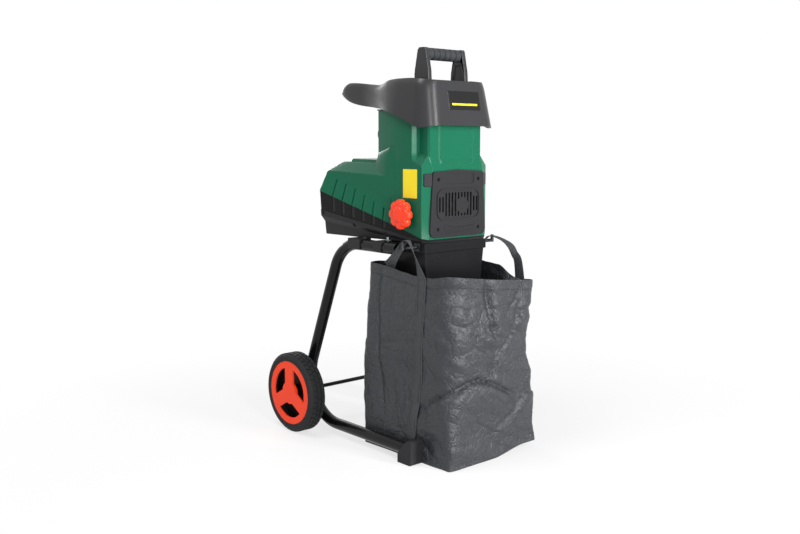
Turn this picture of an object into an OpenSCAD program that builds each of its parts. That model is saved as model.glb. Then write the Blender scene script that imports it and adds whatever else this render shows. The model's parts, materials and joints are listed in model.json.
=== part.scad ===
// Garden shredder on a wheeled tube frame, with its collecting bag.
// Millimetres, +Z up, the front is towards -Y and the floor is at z = 0.
// Lengths along Y are counted from the face of the front grille, then place() centres the whole.

/* [Frame] */
// Outer diameter of the frame tube
tube_d = 28; // [25:0.5:30]
// Wall of the frame tube
tube_wall = 1.5; // [1:0.1:2.5]
// Half spacing of the base tubes
base_x = 149; // [146:1:156]
// Height of the base tube axis
base_z = 30; // [26:1:36]
// Half spacing of the upper tubes
top_x = 124; // [122:1:130]
// Front end of the upper tubes
leg_front_y = 70; // [60:1:75]
// Corner where the upper tube turns down
leg_corner_y = 280; // [270:1:290]
// How far the inclined run leans back
leg_lean_y = 152; // [140:1:160]
// Radius of the upper bend
bend_top_r = 90; // [80:1:100]
// Radius of the lower bend
bend_low_r = 115; // [105:1:120]
// Length of the reduced end inside the base tube
swage_len = 40; // [25:1:60]
// Front face of the feet
foot_front_y = -22; // [-26:1:-18]
// Length of a foot
foot_len = 45; // [38:1:52]
// Width of a foot
foot_w = 38; // [34:1:38]
// Height of a foot at its front
foot_h = 55; // [48:1:60]
// Height of a foot at its back
foot_back_h = 22; // [18:1:28]
// Front wall of a foot
foot_wall = 8; // [5:1:12]

/* [Wheels] */
// Wheel diameter
wheel_d = 200; // [190:1:210]
// Wheel width
wheel_w = 45; // [42:1:48]
// Half width over the wheel faces
wheel_x = 221.3; // [219:0.1:226]
// Rim diameter under the tyre
rim_d = 160; // [150:1:166]
// Axle diameter
axle_d = 10; // [8:0.5:12]
// Hub diameter
hub_d = 36; // [30:1:40]
// Diameter of the push-on clips
clip_d = 22; // [18:1:26]
// Width of a cover spoke
spoke_w = 34; // [26:1:40]

/* [Body] */
// Half width of the column
body_hw = 104; // [102:0.5:107]
// Half width of the front face at the seam
front_low_hw = 90; // [88:0.5:92]
// Half width of the front face at the shoulder
front_top_hw = 80.5; // [79:0.5:82]
// Wall of the plastic shells
shell_wall = 3; // [2.5:0.1:3.5]
// Underside of the base pan
pan_z = 498; // [496:0.5:500]
// Seam height at the front face
seam_z = 506; // [505:0.5:508]
// Rise of the seam per millimetre to the rear
seam_slope = 0.28; // [0.27:0.005:0.29]
// How far the seam flares out at the rear
flare = 26; // [22:0.5:28]
// Rear end of the body at the seam
body_rear_y = 372; // [370:1:378]
// Joint between column and rear hood
split_y = 120; // [119.5:0.1:121]
// Height of the hood top
hood_z = 684; // [682:0.5:688]
// Top of the column
column_z = 800; // [798:0.5:802]
// Back face of the column
column_back_y = 185; // [183:0.5:188]
// Number of air slots on each side
slot_count = 6; // [4:1:6]
// Pitch of the air slots
slot_pitch = 35; // [33:0.5:36]
// Width of an air slot
slot_w = 8; // [5:0.5:10]
// Thickness of the front grille
grille_t = 4; // [3:0.5:4]
// Number of grille bars' gaps
grille_slots = 13; // [9:2:13]

/* [Hopper] */
// Half width of the hopper
hopper_hw = 116; // [114:0.5:119]
// Front of the hopper at its lower edge
hopper_front_y = -15; // [-18:0.5:-12]
// Corner radius of the hopper
hopper_r = 42; // [36:1:48]
// Half width of the rear lip
lip_hw = 70; // [66:1:74]
// Rear end of the lip
lip_y = 372; // [365:1:378]
// Wall of the hopper
hopper_wall = 3.5; // [3:0.1:4]
// Height of the deck inside the hopper
deck_z = 852; // [848:0.5:854]
// Half width of the feed throat
throat_hw = 60; // [54:0.5:62]

/* [Handle] */
// Half width over the handle posts
handle_hw = 64; // [58:0.5:66]
// Thickness of a handle post
post_t = 12; // [10:0.5:14]
// Height of the grip axis over the deck
grip_lift = 74; // [68:0.5:80]
// Diameter of the grip
grip_d = 28; // [26:0.5:30]
// Diameter of the bar inside the grip
bar_d = 18; // [14:0.5:19]
// Number of grip rings
grip_rings = 6; // [4:1:8]

/* [Cutter] */
// Cutting roller axis across the machine
roller_x = 13; // [12:0.5:14]
// Cutting roller axis height
roller_z = 582; // [581:0.5:583]
// Cutting roller diameter over its teeth
roller_d = 84; // [80:0.5:85]
// Cutting roller length
roller_len = 74; // [70:0.5:74]
// Diameter of the roller shaft in its bearings
shaft_d = 20; // [18:0.5:22]
// Outer diameter of the roller bearings
bearing_d = 42; // [40:0.5:44]
// Travel of the pressure plate
plate_travel = 6; // [4:0.5:6]
// Adjusting spindle diameter
spindle_d = 10; // [8:0.5:12]
// Knob diameter over its lobes
knob_d = 70; // [64:1:72]
// Knob lobes
knob_lobes = 8; // [6:1:10]
// Outer face of the knob
knob_x = 133; // [130:0.5:136]

/* [Drive] */
// Gear module of the roller stage
mod_out = 1.75; // [1.7:0.01:1.76]
// Gear module of the motor stage
mod_in = 1.25; // [1.2:0.01:1.26]
// Teeth of both pinions
pinion_teeth = 9; // [9]
// Teeth of the output gear
out_teeth = 72; // [72]
// Teeth of the layshaft gear
lay_teeth = 60; // [60]
// Diameter of the motor shell
motor_d = 128; // [126:0.5:130]
// Length of the stator core
stator_len = 80; // [70:1:84]
// Motor shaft diameter
motor_shaft_d = 14; // [12:0.5:15]
// Fan diameter
fan_d = 108; // [96:1:112]
// Fan blades
fan_blades = 9; // [7:1:11]

/* [Controls] */
// Push button size
button_w = 24; // [20:0.5:25]
// Push button travel
button_travel = 4; // [3:0.5:5]
// Direction selector diameter
selector_d = 44; // [40:0.5:46]
// Direction selector height
selector_h = 12; // [10:0.5:14]

/* [Bag] */
// How far the bag reaches in front of the grille
bag_front = 108; // [105:1:112]
// Back of the bag
bag_back = 188; // [180:1:192]
// Half width of the bag
bag_hw = 128; // [122:0.5:129]
// Bulge of the bag in front of the right foot
bag_bulge = 34; // [20:1:36]
// Rim height of the bag
bag_h = 425; // [415:1:430]
// Thickness of the bag solid
bag_t = 2.5; // [2:0.1:4]
// Webbing width
web_w = 25; // [20:1:28]
// Webbing thickness
web_t = 2; // [1.5:0.1:3]

/* [Hidden] */
$fn = 48;
// Radial clearance of shafts, plugs and seated pieces
fit = 0.05;
// Gap between faces of different pieces
play = 0.3;
// Extra length of every cut
over = 1;
// Pressure angle, tip height, root depth and flank backlash of the gears
gear_pa = 25;
gear_tip = 0.8;
gear_root = 1.05;
gear_backlash = 0.16;

// Frame, worked out in the plane of one leg
saddle_gap = 1;
top_z = pan_z - saddle_gap - tube_d / 2;
splay = atan((base_x - top_x) / (top_z - base_z));
leg_rise = (top_z - base_z) / cos(splay);
leg_lean = atan(leg_lean_y / leg_rise);
top_tangent = bend_top_r * tan((90 - leg_lean) / 2);
low_tangent = bend_low_r * tan((90 + leg_lean) / 2);
top_bend_y = leg_corner_y - top_tangent;
low_bend_y = leg_corner_y + leg_lean_y - low_tangent;
joint_y = low_bend_y - 10;
tube_bore = tube_d - 2 * tube_wall;
swage_d = tube_bore - 2 * fit;
swage_bore = tube_bore - 2 * tube_wall;
weld = 0.25;
bead = 0.6;
foot_edge = 3;
tube_front_y = foot_front_y + foot_wall + fit;

// Wheels and axle
axle_z = wheel_d / 2;
axle_rise = (axle_z - base_z) / cos(splay);
axle_y = low_bend_y + sqrt(pow(bend_low_r, 2) - pow(bend_low_r - axle_rise, 2));
wheel_in_x = wheel_x - wheel_w;
hub_in = -2;
hub_out = 26;
clip_t = 2.5;
axle_half = wheel_in_x + hub_out + play + clip_t + 2;
spacer_d = axle_d + 8;
leg_face_x = base_x - (axle_z - spacer_d / 2 - base_z) * tan(splay) + tube_d / 2 / cos(splay);
cover_z = wheel_w - 9;
cover_t = 8;
cover_face = 4;
cap_d = 54;
cap_depth = 3;
window_in_r = 28.5;
window_rim = 16.5;
disc_z = 12;
disc_t = 6;
rim_wall = 5;
rim_edge = 2;
tyre_edge = 7;
groove_w = 3;
groove_h = 2;
mid_y = (axle_y + wheel_d / 2 - bag_front) / 2;

// Shells: the seam plane, the flare and the stations of the column outline
front_y = grille_t;
chamfer_y = front_y + 10;
step_y = 45;
flare_y = 60;
rear_chamfer = 10;
back_lip = 8;
band_h = 49;
upper_hw = 85;
upper_front_y = 10;
upper_front_hw = 80;
back_hw = 86;
taper_y = 112;
ridge_hw = 75;
ridge_rear_y = 345;
bevel_z = 647;
bevel_rise = 10;
shoulder_z = 668;
shoulder_h = 24;
seat_gap = 0.1;
pan_rear_tuck = [8, 6, 1.5, 0];
pan_side_tuck = [14, 12, 3, 0];
pan_nose_tuck = [4, 3, 1, 0];
pan_rear_rise = [0, 32, 47, 0];
pan_front_rise = [0, 3, 5, 0];
hood_rear_tuck = [0, 4, 7];
hood_rear_flare = [4, 3, -2];
hood_sweep = 30;
step_low_z = hood_z;
step_high_z = step_low_z + 18;
slot_rear_y = 313;
slot_low_z = 555;
slot_high_z = 642;
slot_low_fall = 6;
slot_high_fall = 13.5;
slot_depth = 14;
function seam(y) = seam_z + seam_slope * (y - front_y);
function seam_hw(y) =
    body_hw + flare * max(0, y - flare_y) / (body_rear_y - rear_chamfer - flare_y);

// Edge, vent and recess of the front grille
grille_inset = 4;
grille_r = 14;
grille_crown = 4;
vent_z = 585;
vent_w = 138;
vent_h = 72;
vent_r = 20;
vent_edge = 4;
vent_rise = 2;
vent_pitch = 10;
boss_d = 38;
recess_z = 643;
recess_w = 98;
recess_high = 24;
recess_r = 5;
recess_h = 1.2;

// Cutting chamber
floor_z = pan_z + shell_wall;
chamber_front_y = 20;
chamber_wall = 8;
chamber_back_y = 118;
chamber_left = -76;
chamber_right = 66;
chamber_z = 650;
roller_y = chamber_front_y + chamber_wall + 2;
bearing_w = 12;
front_bearing_y = 12;
rear_bearing_y = chamber_back_y - bearing_w;
roller_shoulder_d = shaft_d + 4;
tooth_h = 9;
knob_y = 66;
knob_z = 563;
plate_t = 18;
plate_len = roller_len - 4;
plate_h = 80;
plate_boss = 14;
plate_face_x = roller_x - roller_d / 2 - plate_travel - 1;
spindle_tip_x = plate_face_x - 7;

// Gear train: output gear, layshaft at lay_angle from it, within the hood, motor at motor_angle from it
lay_angle_most = 160;
motor_angle = -20;
case_wall = 4;
case_gap = 3.3;
case_lay_r = mod_in * (lay_teeth / 2 + gear_tip) + 1.1;
lay_left_x = case_lay_r + case_wall + case_gap + shell_wall - body_hw;
out_dist = mod_out * (out_teeth + pinion_teeth) / 2;
lay_angle = acos(max(cos(lay_angle_most), (lay_left_x - roller_x) / out_dist));
in_dist = mod_in * (lay_teeth + pinion_teeth) / 2;
lay_x = roller_x + out_dist * cos(lay_angle);
lay_z = roller_z + out_dist * sin(lay_angle);
motor_x = lay_x + in_dist * cos(motor_angle);
motor_z = lay_z + in_dist * sin(motor_angle);
case_y = chamber_back_y;
case_end_y = case_y + 54;
cover_end_y = case_end_y + 6;
case_out_r = mod_out * (out_teeth / 2 + gear_tip) + 1.2;
out_gear_y = case_y + 10;
out_gear_w = 18;
lay_gear_y = out_gear_y + out_gear_w + 6;
lay_gear_w = 12;
lay_d = 11;
bush_d = 18;
bush_len = 5;

// Motor, along Y behind the gearbox
stator_d = motor_d - 8;
stator_bore = 66;
air_gap = 0.4;
stator_y = cover_end_y + 29;
stator_end_y = stator_y + stator_len;
winding_len = 14;
shell_end_y = stator_end_y + 18;
shield_t = 8;
shield_hole_d = 22;
motor_bearing_d = 32;
motor_bearing_w = 10;
fan_y = shell_end_y + shield_t + 5;
fan_len = 16;
fan_hub_d = motor_shaft_d + 14;
rib_inset = 10;
rib_t = 6;
rib_hw = 40;
rib_wrap = 22;
capacitor_d = 38;
capacitor_len = 78;
capacitor_gap = 4;
capacitor_x = body_hw - capacitor_d / 2 - capacitor_gap;
capacitor_y = 210;

// Controls on the back face of the column
panel_t = 3;
panel_hw = back_hw - 5;
panel_low_z = 717;
panel_h = 75;
panel_r = 6;
button_z = 773;
on_x = 4;
off_x = 38;
reset_x = 66;
reset_d = 12;
selector_x = -57;
selector_z = 745;
selector_pin_d = 8;
inlet_x = 22;
inlet_z = 736;
inlet_w = 44;
inlet_h = 26;
inlet_depth = 24;
pin_d = 4;
pin_pitch = 10;
inlet_wall = 3;
inlet_rim = 8;
button_proud = 2;
button_rise = button_travel + button_proud;
button_flange = 2;
flange_lip = 2;

// Hopper: lower edge, upper edge and stations along Y
hopper_low = [[-20, 764], [14, 759], [50, 772], [90, 787], [140, 800], [205, 807], [300, 818], [372, 840]];
hopper_top = [[-20, 864], [20, 867], [60, 870], [140, 869], [190, 861], [240, 864], [330, 871], [372, 862]];
hopper_draft = 14;
hopper_front_draft = 20;
taper_start_y = 90;
taper_end_y = 270;
nose_len = 60;
rim_round = 4;
lip_swell = 7;
lip_tuck = 14;
lip_from_y = 100;
lip_run = 200;
front_end_y = 60;
front_run = 75;
deck_t = 4;
deck_back_y = 92;
deck_share = 0.91;
funnel_t = 3;
mouth_back_y = 300;
mouth_hw = 94;
mouth_inset = 14;
throat_front_y = 30;
throat_back_y = 130;

// Handle
handle_y = 60;
grip_z = deck_z + grip_lift;
post_foot = 25;
post_head = 13;
post_top = 14;

// Discharge chute and bag hooks
flange_h = 22;
flange_hw = 100;
flange_front_y = 6;
flange_back_y = 128;
chute_top_hw = 96;
chute_low_hw = 84;
chute_low_z = 350;
chute_seat = 4;
chute_front_in = 3;
chute_back_in = 14;
hook_y = 30;
hook_d = 8;
hook_z = 489;
hook_tip = 14;
hook_plate = 4;
hook_plate_w = 18;

// Tube saddles, each at its front end and length, and their bolts
bolt_d = 6;
bolt_head_d = 11;
bolt_head_h = 5;
bolt_end = 4;
saddle_in = 20;
saddle_out = 16;
saddle_at = [[114, 28], [192, 44]];
saddle_lift = 4;
saddle_z = top_z - tube_d / 2 + saddle_lift;
saddle_bolt_x = top_x - tube_d / 2 - bolt_head_d / 2 + 1;

// Screws
screw_d = 4;
screw_head_d = 9;
screw_head_h = 3;
screw_grip = 10;
slit_w = 1.2;
slit_len = 6;
grille_screw_at = [[64, 642], [65, 529]];
housing_screw_at = [[352, 552], [240, 527], [132, 513]];
screw_boss = 14;
boss_wall = 2.5;
boss_back = 1.5;

// Bag outline
bag_points = 40;
bag_rows = 7;
bag_power = 0.32;
bag_z = 0;
rim_back = 18;
rim_front = 4;
rim_tilt = 8;
strap_front_y = -22;
strap_back_y = 112;
strap_low_z = 372;
strap_bend_z = 428;
strap_lean = atan(max(0, top_x + tube_d / 2 - bag_hw) / (top_z - strap_low_z));
function strap_x(z) = bag_hw + play + (z - strap_low_z) * tan(strap_lean);
hook_x = strap_x(hook_z + hook_tip) + web_t / cos(strap_lean) + play + hook_d / 2;

// Helpers

// Centres the machine over the origin
module place() { translate([0, -mid_y, 0]) children(); }

// Right piece for side 1, its mirror image for side -1
module on_side(side) {
    if (side > 0) children();
    else mirror([1, 0, 0]) children();
}

// The piece and its mirror image
module both_sides() {
    for (side = [-1, 1]) on_side(side) children();
}

// Local +Z turned to +X, or to +Y
module along_x(at) { translate(at) rotate([0, 90, 0]) children(); }
module along_y(at) { translate(at) rotate([-90, 0, 0]) children(); }

// A drawing in X and Z made solid from y0 to y1, and one in Y and Z from x0 to x1
module slab_xz(y0, y1) { translate([0, y1, 0]) rotate([90, 0, 0]) linear_extrude(y1 - y0) children(); }
module slab_yz(x0, x1) { translate([x0, 0, 0]) rotate([90, 0, 90]) linear_extrude(x1 - x0) children(); }

// A drawing in X and Y made solid from height z
module plate_at(z, h) { translate([0, 0, z]) linear_extrude(h) children(); }

// Box between two corners
module box(low, high) { translate(low) cube(high - low); }

// Rounded rectangle about the origin
module rounded(w, h, r) {
    square([w, h - 2 * r], center = true);
    square([w - 2 * r, h], center = true);
    for (x = [-1, 1], y = [-1, 1]) translate([x * (w / 2 - r), y * (h / 2 - r)]) circle(r);
}

// Tube wall between two diameters
module pipe(outer, inner, h) {
    difference() {
        cylinder(d = outer, h = h);
        translate([0, 0, -over]) cylinder(d = inner, h = h + 2 * over);
    }
}

// Ring of a symmetric outline from its right half, front to rear
function mirrored(half) =
    concat(half, [for (i = [len(half) - 1:-1:0]) [-half[i].x, half[i].y, half[i].z]]);

// Triangles of a band between ring k and ring k + 1 of n points
function band(k, n) = [
    for (i = [0:n - 1]) let (a = k * n + i, b = k * n + (i + 1) % n)
        each [[a, a + n, b + n], [a, b + n, b]]
];

// Triangles of a cap over the ring of n points that starts at point a, in strips from side to side
function cap(a, n) = [
    for (i = [0:n / 2 - 2])
        each [[a + i, a + i + 1, a + n - 2 - i], [a + i, a + n - 2 - i, a + n - 1 - i]]
];

// Solid through a stack of rings, lowest ring first
module loft(rings) {
    n = len(rings[0]);
    m = len(rings);
    polyhedron(
        [for (r = rings) each r],
        concat(
            cap(0, n),
            [for (k = [0:m - 2]) each band(k, n)],
            [for (t = cap((m - 1) * n, n)) [t[2], t[1], t[0]]]
        )
    );
}

// Closed skin through a loop of rings whose last ring joins the first
module loop_skin(rings) {
    n = len(rings[0]);
    polyhedron(
        [for (r = rings) each r, each rings[0]],
        [for (k = [0:len(rings) - 1]) each band(k, n)]
    );
}

// Frame

// Round bar of one length from a point in the leg plane, along an angle
module bar(at, angle, d, len) {
    translate([at.x, at.y, 0]) rotate(angle) rotate([0, 90, 0]) cylinder(d = d, h = len);
}

// Bend about a point in the leg plane, from one angle through a turn
module bend(at, r, d, start, turn) {
    cut = weld / r * 180 / PI;
    translate([at.x, at.y, 0]) rotate(start + cut)
        rotate_extrude(angle = turn - 2 * cut) translate([r, 0]) circle(d = d);
}

// Round bar along the leg's centre line, in the leg plane, with a thin weld bead where lengths meet
module leg_bar(d, extra) {
    low = [low_bend_y, bend_low_r];
    top = [top_bend_y, leg_rise - bend_top_r];
    out = [cos(leg_lean), sin(leg_lean)];
    down = [sin(leg_lean), -cos(leg_lean)];
    run_top = top + bend_top_r * out;
    run_low = low + bend_low_r * out;
    rotate([90, 0, 90]) {
        bar([leg_front_y - extra, leg_rise], 0, d, top_bend_y - leg_front_y + extra - weld);
        bend(top, bend_top_r, d, leg_lean, 90 - leg_lean);
        bar(run_top + weld * down, leg_lean - 90, d, norm(run_low - run_top) - 2 * weld);
        bend(low, bend_low_r, d, -90, 90 + leg_lean);
        bar([low_bend_y - weld, 0], 180, d, low_bend_y - joint_y - weld);
        for (j = [
            [[top_bend_y, leg_rise], [1, 0], 0], [run_top, down, leg_lean - 90],
            [run_low, down, leg_lean - 90], [[low_bend_y, 0], [-1, 0], 180]
        ]) bar(j[0] - 2 * weld * j[1], j[2], d + bead, 4 * weld);
    }
}

// Children in the plane of the right leg, splayed from the base tube to the upper tube
module leg_plane() { translate([base_x, 0, base_z]) rotate([0, -splay, 0]) children(); }

module leg(side) {
    color("#1c1d1f") place() on_side(side) difference() {
        leg_plane() difference() {
            union() {
                leg_bar(tube_d, 0);
                along_y([0, joint_y - swage_len, 0]) cylinder(d = swage_d, h = swage_len);
            }
            leg_bar(swage_bore, over);
            along_y([0, joint_y - swage_len - over, 0]) cylinder(d = swage_bore, h = swage_len + 2 * over);
        }
        along_x([0, axle_y, axle_z]) cylinder(d = axle_d + 2 * fit, h = axle_half);
    }
}

module base_tube(side) {
    color("#1c1d1f") place() on_side(side)
        along_y([base_x, tube_front_y, base_z]) pipe(tube_d, tube_bore, joint_y - seat_gap - tube_front_y);
}

module foot(side) {
    back = foot_front_y + foot_len;
    nose = foot_front_y + foot_len / 3;
    edge = foot_front_y + foot_edge;
    color("#242528") place() on_side(side) difference() {
        slab_yz(base_x - foot_w / 2, base_x + foot_w / 2)
            polygon([
                [edge, 0], [back, 0], [back, foot_back_h], [nose, foot_h], [edge, foot_h],
                [foot_front_y, foot_h - foot_edge], [foot_front_y, foot_edge]
            ]);
        along_y([base_x, foot_front_y + foot_wall, base_z]) cylinder(d = tube_d + 2 * fit, h = foot_len);
    }
}

module axle() {
    color("#2b2c2e") place()
        along_x([-axle_half, axle_y, axle_z]) cylinder(d = axle_d, h = 2 * axle_half);
}

module axle_spacers() {
    start = leg_face_x + seat_gap;
    color("#303133") place() both_sides()
        along_x([start, axle_y, axle_z])
            pipe(spacer_d, axle_d + 2 * fit, wheel_in_x + hub_in - play - start);
}

module axle_clips() {
    color("#8b8d90") place() both_sides()
        along_x([wheel_in_x + hub_out + play, axle_y, axle_z]) pipe(clip_d, axle_d + 2 * fit, clip_t);
}

// Wheels

// Wheel pieces are drawn about Z, from the inner face at 0 to the outer face
module at_wheel(side) {
    place() on_side(side) along_x([wheel_in_x, axle_y, axle_z]) children();
}

module wheel_rim(side) {
    rim_r = rim_d / 2;
    bore_r = axle_d / 2 + fit;
    color("#202124") at_wheel(side) rotate_extrude() {
        translate([bore_r, hub_in]) square([hub_d / 2 - bore_r, hub_out - hub_in]);
        translate([hub_d / 2 - over, disc_z]) square([rim_r - hub_d / 2, disc_t]);
        translate([rim_r - rim_wall, rim_edge]) square([rim_wall, cover_z - rim_edge]);
    }
}

module tyre(side) {
    r = wheel_d / 2;
    inner = rim_d / 2 + seat_gap;
    edge = tyre_edge;
    color("#303334") at_wheel(side) rotate_extrude() difference() {
        union() {
            translate([inner, edge]) square([r - inner, wheel_w - 2 * edge]);
            translate([inner, 0]) square([r - edge - inner, wheel_w]);
            for (z = [edge, wheel_w - edge]) translate([r - edge, z]) circle(edge);
        }
        for (z = [wheel_w / 3, wheel_w * 2 / 3])
            translate([r - groove_h, z - groove_w / 2]) square([groove_h + over, groove_w]);
    }
}

module wheel_cover(side) {
    r = rim_d / 2 - play;
    color("#f2502c") at_wheel(side) difference() {
        translate([0, 0, cover_z]) cylinder(r = r, h = cover_t);
        translate([0, 0, cover_z - over]) pipe(2 * (r - rim_wall), cap_d, cover_t - cover_face + over);
        translate([0, 0, cover_z - over]) cylinder(d = clip_d + 2 * play, h = cap_depth + over);
        for (turn = [0, 120, 240]) rotate(turn) window(window_in_r, r - window_rim);
    }
}

// Gap between two spokes, centred on the local +X axis, which points down on the machine
module window(inner, outer) {
    far = outer * 2;
    tip = spoke_w / 2 / sin(60);
    translate([0, 0, cover_z - over]) intersection() {
        pipe(2 * outer, 2 * inner, cover_t + 2 * over);
        linear_extrude(cover_t + 3 * over) {
            polygon([
                [tip, 0], [tip + far * cos(60), far * sin(60)], [tip + far * cos(60), -far * sin(60)]
            ]);
        }
    }
}

// Body shells

// Half outlines of the pan, inset by i, from the underside to the seam
function pan_half(level, i) =
    let (
        rear = body_rear_y - i,
        tuck = pan_rear_tuck[level],
        wide = seam_hw(body_rear_y - rear_chamfer) - pan_side_tuck[level] - i,
        side = body_hw - pan_nose_tuck[level] - i,
        nose = front_low_hw - pan_nose_tuck[level] - i,
        front = front_y + pan_nose_tuck[level] / 2 + i,
        rear_z = pan_z + pan_rear_rise[level],
        front_z = pan_z + pan_front_rise[level]
    )
    [
        for (p = [
            [nose, front, front_z], [side, chamfer_y + i / 2, front_z], [side, flare_y, front_z],
            [wide, rear - rear_chamfer - tuck, rear_z], [wide - rear_chamfer, rear - tuck, rear_z]
        ]) [p.x, p.y, level == 3 ? seam(p.y) : p.z]
    ];

function lifted(half, dz) = [for (p = half) [p.x, p.y, p.z + dz]];

module air_slots() {
    for (i = [0:slot_count - 1]) {
        y = slot_rear_y - i * slot_pitch;
        low = slot_low_z - i * slot_low_fall;
        high = slot_high_z - i * slot_high_fall;
        both_sides() box(
            [body_hw - slot_depth, y - slot_w / 2, low], [body_hw + flare + over, y + slot_w / 2, high]);
    }
}

module base_pan() {
    color("#26272a") place() difference() {
        union() {
            difference() {
                loft([for (k = [0:3]) mirrored(pan_half(k, 0))]);
                loft([
                    mirrored(lifted(pan_half(0, shell_wall), shell_wall)),
                    for (k = [1:3]) mirrored(pan_half(k, shell_wall)),
                    mirrored(lifted(pan_half(3, shell_wall), 2))
                ]);
            }
            for (at = housing_screw_at) both_sides()
                along_x([screw_face_x(at) - screw_boss, at[0], at[1]])
                    cylinder(d = screw_head_d + 2 * boss_wall, h = screw_boss - boss_back);
            motor_cradle();
        }
        box([chamber_left + chamber_wall, chamber_front_y + chamber_wall, pan_z - over],
            [chamber_right - chamber_wall, chamber_back_y - bearing_w, floor_z + over]);
        for (at = housing_screw_at) both_sides() along_x([screw_face_x(at), at[0], at[1]]) {
            translate([0, 0, -screw_head_h - play]) cylinder(d = screw_head_d + 2 * play, h = screw_boss);
            translate([0, 0, -screw_boss - over]) cylinder(d = screw_d + 2 * fit, h = screw_boss + over);
        }
        for (at = saddle_at) both_sides()
            translate([saddle_bolt_x, at[0] + at[1] / 2, pan_z - over])
                cylinder(d = bolt_d + 2 * fit, h = shell_wall + bolt_end + over);
        air_slots();
    }
}

// Outer face of the pan at a housing screw, between the levels of its outline
function screw_face_x(at) =
    let (
        t = (at[0] - flare_y) / (body_rear_y - rear_chamfer - flare_y),
        halves = [for (k = [1:3]) pan_half(k, 0)],
        p = [for (h = halves) h[2] + t * (h[3] - h[2])],
        k = at[1] < p[1].z ? 0 : 1
    )
    p[k].x + (p[k + 1].x - p[k].x) * (at[1] - p[k].z) / (p[k + 1].z - p[k].z);

// Ribs of the pan that carry the motor shell
module motor_cradle() {
    for (y = [stator_y + rib_inset, stator_end_y - rib_inset - rib_t]) difference() {
        box([motor_x - rib_hw, y, floor_z - over],
            [motor_x + rib_hw, y + rib_t, motor_z - motor_d / 2 + rib_wrap]);
        along_y([motor_x, y - over, motor_z]) cylinder(d = motor_d + 2 * play, h = rib_t + 2 * over);
    }
}

// Half outlines of the rear hood, inset by i
function hood_half(level, i) =
    let (
        rear = (level == 3 ? ridge_rear_y : body_rear_y - hood_rear_tuck[level]) - i,
        front_hw = [seam_hw(split_y), body_hw, body_hw, ridge_hw][level] - i,
        flat_hw = level == 3 ? ridge_hw : body_hw,
        rear_hw = (level == 0 ? seam_hw(body_rear_y - rear_chamfer) : flat_hw + hood_rear_flare[level - 1]) - i
    )
    [
        for (p = [[front_hw, split_y], [rear_hw, rear - rear_chamfer], [rear_hw - rear_chamfer, rear]])
            let (t = (p.y - split_y) / (body_rear_y - split_y))
            [p.x, p.y, [
                seam(p.y) + seat_gap, seam(p.y) + band_h,
                max(bevel_z + bevel_rise * t, seam(p.y) + band_h + 1), hood_z
            ][level]]
    ];

module rear_hood() {
    sweep = hood_sweep;
    foot_y = column_back_y + seat_gap;
    sweep_hw = ridge_hw - 4;
    color("#1f6a4b") place() difference() {
        union() {
            difference() {
                loft([for (k = [0:3]) mirrored(hood_half(k, 0))]);
                translate([0, -over, 0]) loft([
                    mirrored(lifted(hood_half(0, shell_wall), -2)),
                    for (k = [0:2]) mirrored(lifted(hood_half(k, shell_wall), k == 0 ? 0.5 : 0)),
                    mirrored(lifted(hood_half(3, shell_wall), -shell_wall))
                ]);
            }
            difference() {
                box([-sweep_hw, foot_y, hood_z - over], [sweep_hw, foot_y + sweep, hood_z + sweep]);
                along_x([-ridge_hw, foot_y + sweep, hood_z + sweep]) cylinder(r = sweep, h = 2 * ridge_hw);
            }
        }
        air_slots();
    }
}

// Half outlines of the column, inset by i, from the seam to the top
function column_half(level, i) =
    let (
        low = level < 3,
        front = (low ? front_y : upper_front_y) + i,
        front_hw = [front_low_hw, front_low_hw - 5, front_top_hw, upper_front_hw, upper_front_hw][level] - i,
        edge_hw = (low ? body_hw : upper_hw) - i,
        edge_y = (low ? chamfer_y : upper_front_y + 5) + i / 2,
        wide = body_hw - i,
        back = (low ? split_y - seat_gap : column_back_y) - i,
        corner_y = low ? back - 1 : taper_y,
        corner_hw = level == 0 ? seam_hw(split_y) - i : wide,
        end_hw = low ? corner_hw - 1 : back_hw - i,
        z = [
            [0, 0, 0, 0, 0, 0, 0],
            [0, 0, 0, 0, 0, 0, 0],
            [shoulder_z, shoulder_z + 4, step_low_z, step_low_z + 2, hood_z, hood_z, hood_z],
            [
                shoulder_z + shoulder_h, shoulder_z + shoulder_h + 4, step_high_z, step_high_z,
                hood_z + 6, hood_z + 2, hood_z + 2 * seat_gap
            ],
            [for (k = [0:6]) column_z]
        ][level],
        points = [
            [front_hw, front], [edge_hw, edge_y], [edge_hw, step_y - 3 + i], [wide, step_y + 2 + i],
            [wide, flare_y + i], [corner_hw, corner_y], [end_hw, back]
        ]
    )
    [
        for (k = [0:6]) let (p = points[k])
            [p.x, p.y, level == 0 ? seam(p.y) + seat_gap : level == 1 ? seam(p.y) + band_h : z[k]]
    ];

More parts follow.
